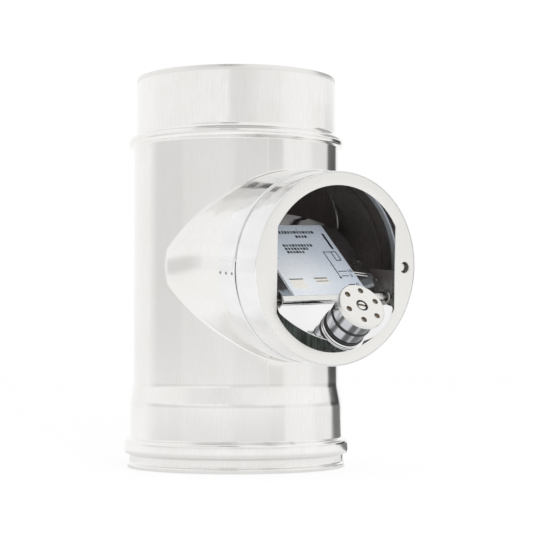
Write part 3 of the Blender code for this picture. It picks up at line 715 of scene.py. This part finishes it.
class REGULATOR_OT_gaskets(bpy.types.Operator):
    """Builds the gasket in the lower bead, and gives the stops rubber and the case's gasket the inside's
    painted shade
    """
    bl_idname = "regulator.gaskets"
    bl_label = "Gaskets and stops"

    def execute(self, context):
        p = settings().pipe
        out, half = p.seal_bead - p.wall - settings().ring.gap, p.gasket_half
        inner, slant_in, slant_out = out - p.gasket_depth, 0.0010, 0.0008
        nose, heel = out - slant_out, inner + slant_in
        corners = [(heel, -half), (nose, -half), (out, 0.0), (nose, half), (heel, half), (inner, 0.0)]
        profile = rounded(corners, slant_out, 4) + (0.0, p.seal_bead_z)
        piece = surface("seal_ring", spun(profile, full_turn(192), 'Z'), True)
        dress(piece, "tee", "rubber", ["socket_gasket"], black_rubber)
        recoat(black_rubber, "opening_stop_left", "opening_stop_right")
        # The case's gasket takes the inside's painted shade.
        recoat(painted_shade_inside, "case_gasket")
        return {'FINISHED'}


def stub_radius(s):
    """Radius of the level stub: it falls evenly from the root to the neck, and stays."""
    b = settings().branch
    return b.root + (b.neck - b.root) * np.clip((s - b.root_start) / (b.neck_start - b.root_start), 0.0, 1.0)


def stub_wall(around, inset):
    """Rows of the stub's wall: (r cos a, -s, Z + r sin a), which leans over into the regulator's own tube.

    It starts on the pipe's skin, where s^2 = R^2 - (r cos a)^2, and leans over by 3 w^2 - 2 w^3, where w goes
    from 0 at the root to 1 at the turn. Only the outer wall has a small flare at its root.
    """
    air = 0.0001
    b, skin = settings().branch, settings().pipe.radius + air
    flare = 0.0 if inset else b.root_flare
    root = np.full_like(around, b.root_start)
    for _ in range(6):
        root = np.sqrt(skin ** 2 - ((stub_radius(root) - inset) * np.cos(around)) ** 2)
    narrow = stub_radius(root) - inset
    far = np.sqrt(np.maximum(skin ** 2 - ((narrow + flare) * np.cos(around)) ** 2, 0.0))
    near = root + b.root_flare
    t = np.linspace(0.0, 1.0, 7)[:, None]
    r, s = bend(t, narrow + flare, narrow, stub_radius(near) - inset), bend(t, far, root, near)
    run = near + (b.stub_end - near) * np.linspace(0.0, 1.0, 40)[1:, None]
    r, s = np.concatenate([r, stub_radius(run) - inset]), np.concatenate([s, run])
    level = np.stack([r * np.cos(around), -s, b.stub_height + r * np.sin(around)], -1)
    tube = (b.radius - inset) * np.stack([np.cos(around), 0.0 * around, np.sin(around)], -1)
    sloped = placed(tube - s[..., None] * np.array((0.0, 1.0, 0.0)), regulator_frame())
    w = np.clip((s - root) / (b.stub_turn - root), 0.0, 1.0)[..., None]
    return level + (3 * w ** 2 - 2 * w ** 3) * (sloped - level)


class REGULATOR_OT_branch(bpy.types.Operator):
    """Builds the branch stub with its rounded saddle and the sleeve band, and coats the spot welds"""
    bl_idname = "regulator.branch"
    bl_label = "Branch, sleeve and welds"

    def execute(self, context):
        b, p = settings().branch, settings().pipe
        around = full_turn()
        outside, inside = stub_wall(around, 0.0), stub_wall(around, p.wall)
        points = np.concatenate([outside, inside[::-1]])
        row = np.arange(len(points))
        inner = (row >= len(outside)) & (row < len(points) - 1)
        piece = surface("stub_shell", points, True, inner)
        # The stub's inner side takes the inside's painted shade, and painted light low down.
        dress(piece, "tee", "stainless", ["branch_stub"], drawn_sheet, painted_shade_inside)

        air, step, fade = 0.00004, 0.004, 0.3
        low, high = b.radius + air, b.radius + settings().ring.gap + p.wall
        profile = rounded(oblong(low, high, b.sleeve_start, b.sleeve_end), (0.0001, 0.0009, 0.0009, 0.0001))
        around = np.unique(np.r_[around, b.lap_turn + np.linspace(-step, step, 5)])
        points = spun(profile, around, 'Y')
        lap = b.lap * (np.clip((around - b.lap_turn) / step + 0.5, 0, 1)
                       - np.clip((around - b.lap_end) / fade + 0.5, 0, 1))
        points[..., [0, 2]] *= (1.0 + lap / low)[None, :, None]
        piece = surface("sleeve_band", placed(points, regulator_frame()), True)
        dress(piece, "tee", "mirror_steel", ["branch_sleeve"], polished_sheet)
        recoat(machined_steel, "spot_weld_rear", "spot_weld_mid", "spot_weld_front")
        return {'FINISHED'}


class REGULATOR_OT_case(bpy.types.Operator):
    """Builds the regulator's case with its turned rim, the front ring and the set screw's thread"""
    bl_idname = "regulator.case"
    bl_label = "Case, ring and set screw"

    def execute(self, context):
        b, g, steps = settings().branch, settings().ring, 7
        inner = b.radius - settings().pipe.wall
        bead, high, slant = b.face - g.bead_depth, inner - g.bead_height, 2.0 * g.bead_height
        rear, air = bead - g.bead_width, 0.00006
        corners = [(inner, b.case_start), (b.radius, b.case_start), (b.radius, b.face), (inner, b.face),
                   (inner, bead + slant), (high, bead), (high, rear), (inner, rear - slant)]
        profile = rounded(corners, (0.0002, 0.0002, 0.0009, 0.00012, 0.0005, 0.0006, 0.0006, 0.0005), steps)
        corner = np.arange(len(profile)) / steps
        outside, on_bead = (corner > 0.5) & (corner < 3.5), (corner > 4.5) & (corner < 7.5)
        points = spun(profile, full_turn(), 'Y', regulator_frame())
        piece = surface("case_shell", points, True, np.where(outside, 0, np.where(on_bead, 2, 1)))
        # The case's inner side takes the inside's painted shade and painted light; its bead stays pale grey.
        dress(piece, "tee", "mirror_steel", ["regulator_case"], polished_sheet, painted_shade_inside, pale_inside)
        self.ring(g, b.face - g.recess, inner - air)
        self.bush(g, b.face - g.recess)
        return {'FINISHED'}

    def ring(self, g, front, out):
        """The ring's section, rounded by quarter circles, carried round an opening cut straight at two sides.

        The opening's radius is the lesser of R and W / |cos a|.
        """
        corner = math.acos(g.half_width / g.mouth)
        corners = np.array([corner, -corner, math.pi - corner, math.pi + corner]) % (2 * np.pi)
        around = np.unique(np.round(np.r_[full_turn(), corners], 9))
        mouth = np.minimum(g.mouth, g.half_width / np.maximum(np.abs(np.cos(around)), 1e-6))
        back, edge, fine = front - g.thickness, 0.0003, 0.0001
        fall, rise = quarter()[..., None]
        outer = np.full_like(mouth, out)
        r = np.concatenate([mouth + edge * fall, mouth + edge * rise, outer - fine * fall,
                            outer - fine * rise])
        h = np.concatenate([back + edge * rise, front - edge * fall, front - fine * rise, back + fine * fall])
        h = h + 0.0 * mouth
        points = placed(np.stack([r * np.cos(around), -h, r * np.sin(around)], -1), regulator_frame())
        piece = surface("ring_plate", points, True)
        hole = regulator_frame() @ Matrix.Translation((g.screw_x, 0.0, 0.0))
        bored(piece, rod("hole_tool", g.screw_radius, front - 0.004, front + 0.004, 'Y', hole, 48))
        dress(piece, "tee", "stainless", ["front_ring"], satin_steel)

    def bush(self, g, front):
        """A lip, a thread whose radius goes as a cosine of its depth, and the screw's cup at the bottom."""
        rim, top, pitch, count = g.screw_radius, front - 0.0007, 0.0007, 5
        middle, wave = rim - 0.00040, 0.00016
        t = np.linspace(0.0, count, 12 * count)
        thread = np.stack([middle + wave * np.cos(2 * np.pi * t), top - pitch * t], -1)
        out, bottom = rim + 0.0006, top - pitch * count
        # Each corner of the lip and the cup is (radius, height).
        lip = [(out, bottom - 0.001), (out, front + 0.00004), (rim + 0.0003, front + 0.00006),
               (rim + 0.0001, front), (rim - 0.0005, front - 0.0008)]
        cup = [(0.80 * rim, bottom + 0.0002), (0.62 * rim, bottom + 0.0011), (0.0, bottom + 0.0014),
               (0.0, bottom - 0.001)]
        hole = regulator_frame() @ Matrix.Translation((g.screw_x, 0.0, 0.0))
        points = spun(np.concatenate([lip, thread, cup]), full_turn(64), 'Y', hole)
        row = np.arange(len(points)) - len(lip)
        slots = np.where((row >= 0) & (row < len(thread)), 1, 0)
        piece = surface("screw_bush", points, True, slots)
        # The thread takes the inside's painted shade, for the shade down in the hole.
        dress(piece, "tee", "dull_steel", ["set_screw"], satin_steel, painted_shade_inside)


class REGULATOR_OT_bearings(bpy.types.Operator):
    """Builds the bent brackets, pivot pins and rivets on both sides"""
    bl_idname = "regulator.bearings"
    bl_label = "Brackets, pins and rivets"

    def execute(self, context):
        b, g, f = settings().branch, settings().ring, settings().flap
        back = -(b.face - g.recess - g.thickness - g.gap)
        # A rivet's dome rises by the root of 1 - (r / R)^2. On the leaf it is lower and starts a little off.
        r = np.linspace(g.rivet, 0.0, 8)
        dome = g.rivet_rise * np.sqrt(1.0 - (r / g.rivet) ** 2)
        share, off = 0.35, 0.0002
        tall = np.concatenate([[[0.0, 0.0]], np.stack([r, dome], -1)])
        flat = np.concatenate([[[0.0, off]], np.stack([r, share * dome + off], -1)])
        curve, inward, outward, rim = 0.0016, 0.0012, 0.0010, 0.0005
        for side, sign in (("left", -1.0), ("right", 1.0)):
            corners = [(g.bracket_x + g.bracket_foot, back), (g.bracket_x, back),
                       (g.bracket_x, back + g.bracket_depth)]
            path = rounded(corners, curve, 9, closed=False)
            path = path[np.r_[True, np.linalg.norm(np.diff(path, axis=0), axis=1) > 1e-7]]
            rows = strip_rows(path, -g.bracket_wall, g.bracket_low, g.bracket_high) * (sign, 1.0, 1.0)
            piece = surface(f"bracket_plate_{side}", placed(rows, regulator_frame()), False)
            # The brackets take the inside's painted shade, for the shade they stand in behind the ring.
            dress(piece, "tee", "mirror_steel", [f"bracket_{side}"], painted_shade_inside)

            corners = oblong(0.0, g.pin, f.ear_x - inward, g.bracket_x + g.bracket_wall + outward)
            profile = rounded(corners, (0.0, rim, rim, 0.0), closed=False) * (1.0, sign)
            piece = surface(f"pin_{side}", spun(profile, full_turn(32), 'X', pivot_frame()), False)
            dress(piece, "tee", "dull_steel", [f"pivot_pin_{side}"], machined_steel)

            spot = (sign * (g.bracket_x - g.gap), back + g.rivet_back, -g.rivet_drop)
            place = regulator_frame() @ Matrix.Translation(spot)
            points = spun(tall * (1.0, -sign), full_turn(32), 'X', place)
            piece = surface(f"bracket_rivet_dome_{side}", points, False)
            dress(piece, "tee", "dull_steel", [f"bracket_rivet_{side}"], machined_steel)

            place = upper_frame() @ Matrix.Translation((sign * f.rivet_across, 0.0, f.rivet_up))
            piece = surface(f"leaf_rivet_dome_{side}", spun(flat, full_turn(32), 'Y', place), False)
            dress(piece, "flap", "dull_steel", [f"leaf_rivet_{side}"], drilled_steel)
        recoat(machined_steel, "flap_ear_left", "flap_ear_right", "joint_bar")
        return {'FINISHED'}


class REGULATOR_OT_upper_leaf(bpy.types.Operator):
    """Builds the flap's upper leaf, the bright strip along its foot and its two short ribs"""
    bl_idname = "regulator.upper_leaf"
    bl_label = "Upper leaf"

    def execute(self, context):
        f = settings().flap
        # The rim z of x lies where x^2 + (z cos c - D)^2 = R^2, and c is the leaf's lean when it is closed.
        x = f.half_width * np.cos(np.linspace(0.0, np.pi, 97))
        closed_lean = f.lean - f.close_turn
        z = (np.sqrt(f.edge_reach ** 2 - x ** 2) + settings().ring.pivot_drop) / math.cos(closed_lean)
        w, n, h = f.half_width, f.notch_width, f.notch_height
        foot = rounded([(-w, h), (-w + n, h), (-w + n, f.low), (w - n, f.low), (w - n, h), (w, h)],
                       (0.0, 0.0006, 0.0008, 0.0008, 0.0006, 0.0), 5, closed=False)
        outline, middle = np.concatenate([foot, np.stack([x, z], -1)]), np.array([0.0, 0.040])
        rows = plate_rows(outline, middle, 0.0, f.thickness, f.edge)
        piece = surface("upper_leaf_plate", placed(rows, upper_frame()), False)
        dress(piece, "flap", "mirror_steel", ["upper_leaf"], polished_sheet)

        tall, wall, fine, ahead = f.strip_height, 0.0004, 0.0001, 0.0003
        half = w - n - wall
        rows = plate_rows(oblong(-half, half, 0.0, tall), np.array([0.0, 0.5 * tall]), -wall, 0.0, fine)
        folded = upper_frame() @ Matrix.Translation((0.0, -ahead, f.low)) @ Matrix.Rotation(f.bend, 4, 'X')
        piece = surface("joint_strip", placed(rows, folded), False)
        dress(piece, "flap", "mirror_steel", [], satin_steel)

        profile = rounded(oblong(0.0, f.rib, -f.rib_half, f.rib_half), (0.0, f.rib, f.rib, 0.0), closed=False)
        for name, up in (("leaf_rib_upper", f.rib_up), ("leaf_rib_lower", f.rib_up - f.rib_apart)):
            place = Matrix.Translation((f.rib_across, 0.0, up)) @ Matrix.Rotation(f.rib_fall, 4, 'Y')
            piece = surface(name, spun(profile, full_turn(24), 'X', upper_frame() @ place), False)
            dress(piece, "flap", "mirror_steel", [], polished_sheet)
        return {'FINISHED'}


# Rows of ticks: their height on the label, the start and end across it and the half height of a tick.
TICK_ROWS = ((0.0690, -0.0110, 0.0200, 0.0014), (0.0643, 0.0035, 0.0125, 0.0013),
             (0.0548, -0.0120, 0.0120, 0.0012), (0.0513, -0.0120, 0.0080, 0.0012),
             (0.0478, -0.0120, 0.0020, 0.0012))
# Lines and pale fields: the middle across and up, half of the width and half of the height.
LINES = ((0.0270, 0.0590, 0.0009, 0.0085), (0.0172, 0.0350, 0.00035, 0.0130),
         (0.0172, 0.0205, 0.0009, 0.0009), (0.0255, 0.0475, 0.0022, 0.00035),
         (0.0255, 0.0385, 0.0022, 0.00035), (0.0235, 0.0430, 0.00035, 0.0048),
         (0.0275, 0.0430, 0.00035, 0.0048), (0.0205, 0.0475, 0.0035, 0.00030),
         (0.0222, 0.0268, 0.0036, 0.00035), (0.0220, 0.0220, 0.0030, 0.00035),
         (0.0225, 0.0130, 0.0026, 0.00035), (-0.0203, 0.0198, 0.0056, 0.00045),
         (0.0, 0.0202, 0.0054, 0.00045), (0.0, 0.0172, 0.0050, 0.00030),
         (0.0, 0.0030, 0.0306, 0.00022), (-0.0306, 0.0410, 0.00022, 0.0380))
FIELDS = ((-0.0203, 0.0148, 0.0054, 0.0048), (0.0, 0.0172, 0.0052, 0.0029))
# Numbers: the text and its place across and up.
NUMBERS = (("0", 0.0262, 0.0118), ("5", 0.0262, 0.0208), ("10", 0.0262, 0.0256))


def tick_marks(up, start, end, half):
    """A row of scale ticks from start to end, one every pitch and every third one wider."""
    pitch, narrow, wide = 0.0025, 0.00070, 0.00095
    x = np.arange(start, end, pitch)
    width = np.where(np.arange(len(x)) % 3 == 0, wide, narrow)
    return np.stack([x, np.full_like(x, up), width, np.full_like(x, half)], -1)


class REGULATOR_OT_label(bpy.types.Operator):
    """Builds the bare foil label with generic ticks and numbers on the upper leaf"""
    bl_idname = "regulator.label"
    bl_label = "Label with a scale"

    def execute(self, context):
        f, air, raised, corner, edge = settings().flap, 0.00002, 0.00006, 0.0012, 0.00008
        w, low, high = f.label_half_width, f.label_low, f.label_high
        outline = rounded(oblong(-w, w, low, high), corner, 8)
        middle = np.array([0.0, 0.5 * (low + high)])
        rows = plate_rows(outline, middle, -air - f.label_wall, -air, edge)
        piece = surface("label_foil_plate", placed(rows, upper_frame()), False)
        dress(piece, "flap", "label", ["label_plate"], label_foil)

        scale = np.concatenate([*(tick_marks(*row) for row in TICK_ROWS), LINES])
        self.printed("label_scale", scale, 2.0 * raised, printing_ink)
        self.printed("label_fields", np.array(FIELDS), raised, cream_print)
        for text, x, z in NUMBERS:
            self.number(text, x, z, raised)
        return {'FINISHED'}

    def printed(self, name, marks, height, ink):
        """Boxes on the label, each (x, z, half width, half height), raised by a height."""
        corners = np.array([(-1, -1), (1, -1), (1, 1), (-1, 1)], float)
        x, z, w, h = marks.T[:, :, None]
        u, v = corners[:, 0] * w, corners[:, 1] * h
        low = np.stack([x + u, np.full_like(u, -settings().flap.label_wall), z + v], -1)
        points = np.concatenate([low, low - (0.0, height, 0.0)], 1)
        faces = np.array([(0, 1, 2, 3), (4, 7, 6, 5), (0, 4, 5, 1), (1, 5, 6, 2), (2, 6, 7, 3), (3, 7, 4, 0)])
        quads = (faces[None] + 8 * np.arange(len(points))[:, None, None]).reshape(-1, 4)
        mesh = bpy.data.meshes.new(name)
        mesh.from_pydata(placed(points.reshape(-1, 3), upper_frame()).tolist(), [], quads.tolist())
        closed_up(mesh)
        dress(shown(name, mesh), "flap", "label", [], ink)

    def number(self, text, x, z, raised):
        """A number in raised print: a flat text, made a mesh before its place is applied."""
        f, name, lift = settings().flap, f"label_number_{text}", 0.00008
        curve = bpy.data.curves.new(name, 'FONT')
        curve.body, curve.size, curve.extrude = text, f.label_number, raised
        source = shown("number_source", curve)
        graph = bpy.context.evaluated_depsgraph_get()
        mesh = bpy.data.meshes.new_from_object(source.evaluated_get(graph))
        bpy.data.objects.remove(source, do_unlink=True)
        upright = Matrix.Rotation(math.radians(90.0), 4, 'X')
        mesh.transform(upper_frame() @ Matrix.Translation((x, -lift - f.label_wall, z)) @ upright)
        closed_up(mesh)
        dress(shown(name, mesh), "flap", "label", [], printing_ink)


class REGULATOR_OT_lower_leaf(bpy.types.Operator):
    """Builds the flap's lower leaf with the tab below the weight"""
    bl_idname = "regulator.lower_leaf"
    bl_label = "Lower leaf"

    def execute(self, context):
        f, weight = settings().flap, settings().weight
        # The edge is the lower one of two arcs, round the branch axis and round the foot of the spindle.
        half = f.lower_half_width
        x = np.linspace(-half, half, 241)
        big = settings().ring.pivot_drop - np.sqrt(f.lower_radius ** 2 - x ** 2)
        tab = weight.place_z - np.sqrt(np.maximum(f.lobe ** 2 - (x - weight.place_x) ** 2, 0.0))
        edge = np.where(np.abs(x - weight.place_x) < f.lobe, np.minimum(big, tab), big)
        outline = np.concatenate([np.stack([x, edge], -1), [(half, f.lower_top), (-half, f.lower_top)]])
        middle = np.array([0.0, -0.0150])
        rows = plate_rows(outline, middle, f.lower_set, f.lower_set + f.thickness, f.edge)
        piece = surface("lower_leaf_plate", placed(rows, lower_frame()), False)
        dress(piece, "flap", "mirror_steel", ["lower_leaf"], polished_sheet)
        return {'FINISHED'}


class REGULATOR_OT_weight(bpy.types.Operator):
    """Builds the adjusting weight: disc, grooved body, rubber rings, head with its holes and slotted screw"""
    bl_idname = "regulator.weight"
    bl_label = "Adjusting weight"

    def execute(self, context):
        w, gap, air = settings().weight, settings().ring.gap, 0.0001
        place, around = weight_frame(), full_turn(128)
        lower, upper, deep = w.mid_ring - w.groove_half, w.mid_ring + w.groove_half, w.body - w.groove_depth
        side = [(w.bore, w.body_low), (w.body, w.body_low), (w.body, lower), (deep, lower), (deep, upper),
                (w.body, upper), (w.body, w.body_high), (w.bore, w.body_high)]
        rings = (
            ("foot_disc", "flap", "mirror_steel", "weight_disc", polished_sheet, 0.0004,
             oblong(w.spindle + gap, w.disc, gap, w.disc_wall)),
            ("weight_cylinder", "weight", "mirror_steel", "weight_body", turned_steel, 0.00035, side),
            ("rubber_ring_low", "weight", "rubber", "weight_ring_low", black_rubber, 0.0010,
             oblong(w.bore, w.rubber, w.low_ring - w.rubber_half, w.low_ring + w.rubber_half)),
            ("rubber_ring_mid", "weight", "rubber", "weight_ring_mid", black_rubber, 0.0008,
             oblong(deep + air, w.body + 0.0003, lower + air, upper - air)))
        # Each is a section with rounded corners, turned round the spindle.
        for name, body, slot, node, maker, reach, corners in rings:
            points = spun(rounded(corners, reach, 5), around, 'Y', place)
            dress(surface(name, points, True), body, slot, [node], maker)

        profile = rounded(oblong(w.screw + gap, w.head, w.head_low, w.head_top),
                          (0.0003, 0.0006, 0.0009, 0.0005), 7)
        head = surface("head_plate", spun(profile, around, 'Y', place), True)
        foot, above, point = w.head_top - w.hole_depth, w.head_top + 0.001, 0.0008
        drill = np.array([(0.0, foot - point), (w.head_hole, foot), (w.head_hole, above), (0.0, above)])
        for turn in full_turn(6) + w.hole_turn:
            spot = Matrix.Translation((w.hole_circle * math.cos(turn), 0.0, w.hole_circle * math.sin(turn)))
            points = spun(drill, full_turn(40), 'Y', place @ spot)
            bored(head, surface("drill", points, False, np.ones(len(drill))))
        dress(head, "weight", "stainless", ["weight_head"], satin_steel, drilled_steel)

        slim, crown, slot_reach = w.screw - w.screw_air, 0.0003, 0.006
        corners = [(0.0, w.head_low), (slim, w.head_low), (slim, w.head_top - crown), (0.0, w.head_top)]
        profile = rounded(corners, (0.0, 0.0003, 0.0006, 0.0), closed=False)
        screw = surface("slotted_screw", spun(profile, full_turn(64), 'Y', place), False)
        slot = oblong(-w.slot_half, w.slot_half, -slot_reach, slot_reach)
        tool = plate_rows(slot, np.zeros(2), -above, -w.head_top + w.slot_depth, 0.0)
        turned = place @ Matrix.Rotation(w.slot_turn, 4, 'Y')
        bored(screw, surface("slot_tool", placed(tool, turned), False, np.ones(len(tool))))
        dress(screw, "weight", "dull_steel", ["weight_screw"], satin_steel, drilled_steel)
        recoat(machined_steel, "spindle", "spindle_nut", "weight_core")
        return {'FINISHED'}


# Studio

# Greys round the room at each height, as (degrees from VIEW_BEARING, grey), and from below to straight up.
LEVEL = ((-180, 1.0), (-114, 0.97), (-98, 0.75), (-63, 0.75), (-60, 0.80), (-4, 0.80), (2, 0.75), (36, 0.74),
         (38, 0.70), (52, 0.72), (55, 0.93), (88, 0.93), (98, 0.80), (122, 0.80), (126, 0.06), (150, 0.06),
         (154, 0.95), (180, 1.0))
RAISED = ((-180, 1.0), (-9, 1.0), (-6, 0.80), (10, 0.80), (30, 0.93), (75, 1.0), (180, 1.0))
HIGH = ((-180, 1.0), (-62, 0.95), (-48, 0.86), (-15, 0.84), (1, 0.90), (50, 1.0), (108, 1.0), (112, 0.45),
        (150, 0.45), (154, 1.0), (180, 1.0))
WINDOW = ((-180, 1.0), (-62, 0.92), (-48, 0.74), (-20, 0.70), (-18, 0.03), (2, 0.03), (4, 0.95), (180, 1.0))
PLAIN = ((-180, 1.0), (180, 1.0))
FLOOR = ((-180, 1.0), (122, 1.0), (126, 0.08), (150, 0.08), (154, 1.0), (180, 1.0))
UPWARD = ((-90, 0.6), (-12, 0.9), (-4, 0.97), (3, 1.0), (58, 1.0), (64, 0.95), (67, 0.55), (90, 0.50))
# Each ring of greys above eye level fades in between two heights in degrees.
RINGS = ((7.0, 7.6, RAISED), (12.0, 14.0, HIGH), (31.0, 32.0, WINDOW), (42.0, 43.0, PLAIN))
WHITE = (1.0, 1.0, 1.0, 1.0)


def ramp(tree, value, stops, reach):
    """A grey for an angle: the stops are (degrees, grey) from -reach to reach."""
    spread = add(tree, "ShaderNodeMapRange", {0: value, 1: -math.radians(reach), 2: math.radians(reach)})
    node = add(tree, "ShaderNodeValToRGB", {0: spread.outputs[0]})
    points = node.color_ramp.elements
    for i, (at, grey) in enumerate(stops):
        place = 0.5 * (at / reach + 1.0)
        point = points[i] if i < 2 else points.new(place)
        point.position = place
        point.color = (grey, grey, grey, 1.0)
    return node.outputs[0]


def room_angles(tree, where):
    """The bearing of a place or direction in the room, from VIEW_BEARING in radians, and its upward share."""
    turned = add(tree, "ShaderNodeMapping", {"Vector": where, "Rotation": (0.0, 0.0, -VIEW_BEARING)})
    apart = add(tree, "ShaderNodeSeparateXYZ", {0: turned.outputs[0]})
    bearing = add(tree, "ShaderNodeMath", {0: apart.outputs[1], 1: apart.outputs[0]}, operation='ARCTAN2')
    return bearing.outputs[0], apart.outputs[2]


def studio_world():
    """Plain white all round, with grey panels and a grey ceiling that only the metal's reflections show.

    The grey depends only on the direction in the room: rings of greys go round it, one above the other, and
    are multiplied by one more that goes from below to straight up.
    """
    world = bpy.data.worlds.new("plain_studio")
    bpy.context.scene.world = world
    world.use_nodes = True
    tree = world.node_tree
    tree.nodes.clear()
    bearing, up = room_angles(tree, add(tree, "ShaderNodeTexCoord").outputs["Generated"])
    height = add(tree, "ShaderNodeMath", {0: up}, operation='ARCSINE').outputs[0]
    panels = ramp(tree, bearing, LEVEL, 180.0)
    for low, high, stops in RINGS:
        above = add(tree, "ShaderNodeMapRange", {0: height, 1: math.radians(low), 2: math.radians(high)})
        ring = ramp(tree, bearing, stops, 180.0)
        panels = add(tree, "ShaderNodeMix", {0: above.outputs[0], 6: panels, 7: ring},
                     data_type='RGBA').outputs[2]
    both = add(tree, "ShaderNodeMix", {0: 1.0, 6: panels, 7: ramp(tree, height, UPWARD, 90.0)},
               data_type='RGBA', blend_type='MULTIPLY')
    around = add(tree, "ShaderNodeBackground", {"Color": both.outputs[2], "Strength": 1.0})
    white = add(tree, "ShaderNodeBackground", {"Color": WHITE, "Strength": 1.0})
    path = add(tree, "ShaderNodeLightPath")
    shown_as = add(tree, "ShaderNodeMixShader", {0: path.outputs["Is Glossy Ray"], 1: white.outputs[0],
                                                 2: around.outputs[0]})
    add(tree, "ShaderNodeOutputWorld", {"Surface": shown_as.outputs[0]})


def plain_floor():
    """Plain pale floor that shows nearly white to the camera and keeps the shadow.

    In the metal's reflections it is white as well, apart from one dark strip and the shade close to the pipe.
    """
    material = bpy.data.materials.new("plain_pale_floor")
    material.use_nodes = True
    tree = material.node_tree
    tree.nodes.clear()
    shade_start, shade_end, shade_grey, own_light = 0.09, 0.20, 0.80, 0.86
    where = add(tree, "ShaderNodeTexCoord").outputs["Object"]
    bearing = room_angles(tree, where)[0]
    far = add(tree, "ShaderNodeVectorMath", {0: where}, operation='LENGTH').outputs["Value"]
    shade = add(tree, "ShaderNodeMapRange", {0: far, 1: shade_start, 2: shade_end, 3: shade_grey, 4: 1.0})
    strip = add(tree, "ShaderNodeMix", {0: 1.0, 6: ramp(tree, bearing, FLOOR, 180.0), 7: shade.outputs[0]},
                data_type='RGBA', blend_type='MULTIPLY')
    path = add(tree, "ShaderNodeLightPath")
    glossy = path.outputs["Is Glossy Ray"]
    seen = add(tree, "ShaderNodeMath", {0: path.outputs["Is Camera Ray"], 1: glossy}, operation='MAXIMUM')
    part = add(tree, "ShaderNodeMath", {0: seen.outputs[0], 1: own_light}, operation='MULTIPLY')
    matt = add(tree, "ShaderNodeBsdfDiffuse", {"Color": (*settings().finish.floor, 1.0)})
    plain = add(tree, "ShaderNodeMix", {0: glossy, 6: WHITE, 7: strip.outputs[2]}, data_type='RGBA')
    white = add(tree, "ShaderNodeEmission", {"Color": plain.outputs[2], "Strength": 1.0})
    both = add(tree, "ShaderNodeMixShader", {0: part.outputs[0], 1: matt.outputs[0], 2: white.outputs[0]})
    add(tree, "ShaderNodeOutputMaterial", {"Surface": both.outputs[0]})
    return material


class REGULATOR_OT_studio(bpy.types.Operator):
    """Builds the plain floor, the soft light and the camera at the photograph's angle"""
    bl_idname = "regulator.studio"
    bl_label = "Floor, light and camera"

    def execute(self, context):
        camera = bpy.data.cameras.new("camera")
        camera.sensor_width = 36.0
        camera.lens = 109.2
        camera.clip_start = 0.01
        camera.dof.use_dof = False
        viewer = shown("camera", camera)
        viewer.location = CAMERA_PLACE
        viewer.rotation_euler = CAMERA_TURN
        context.scene.camera = viewer
        studio_world()

        edge, low = 3.0, -0.0004
        mesh = bpy.data.meshes.new("floor")
        mesh.from_pydata([(x, y, low) for x, y in oblong(-edge, edge, -edge, edge)], [], [(0, 1, 2, 3)])
        mesh.materials.append(finish(plain_floor))
        shown("floor", mesh)

        lamp = bpy.data.lights.new("softbox", 'AREA')
        lamp.size = 0.6
        lamp.energy = 11.0
        light = shown("softbox", lamp)
        light.location = LAMP_PLACE
        light.rotation_euler = (Vector(LAMP_AIM) - Vector(LAMP_PLACE)).to_track_quat('-Z', 'Y').to_euler()
        light.visible_glossy = False
        context.scene.view_settings.view_transform = 'Standard'
        return {'FINISHED'}


STEPS = (REGULATOR_OT_pipe, REGULATOR_OT_gaskets, REGULATOR_OT_branch, REGULATOR_OT_case,
         REGULATOR_OT_bearings, REGULATOR_OT_upper_leaf, REGULATOR_OT_label, REGULATOR_OT_lower_leaf,
         REGULATOR_OT_weight, REGULATOR_OT_studio)


class REGULATOR_PT_steps(bpy.types.Panel):
    """Lists the steps that build the draft regulator"""
    bl_label = "Draft regulator"
    bl_space_type = 'VIEW_3D'
    bl_region_type = 'UI'
    bl_category = "Regulator"

    def draw(self, context):
        for step in STEPS:
            self.layout.operator(step.bl_idname)


CLASSES = (PipeSizes, BranchSizes, RingSizes, FlapSizes, WeightSizes, FinishColours, RegulatorSettings,
           *STEPS, REGULATOR_PT_steps)


def register():
    for item in CLASSES:
        bpy.utils.register_class(item)
    bpy.types.Scene.draft_regulator = PointerProperty(type=RegulatorSettings)


def unregister():
    del bpy.types.Scene.draft_regulator
    for item in reversed(CLASSES):
        bpy.utils.unregister_class(item)


def main():
    """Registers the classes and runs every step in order."""
    register()
    for step in STEPS:
        family, name = step.bl_idname.split(".")
        getattr(getattr(bpy.ops, family), name)()


if __name__ == "__main__":
    main()
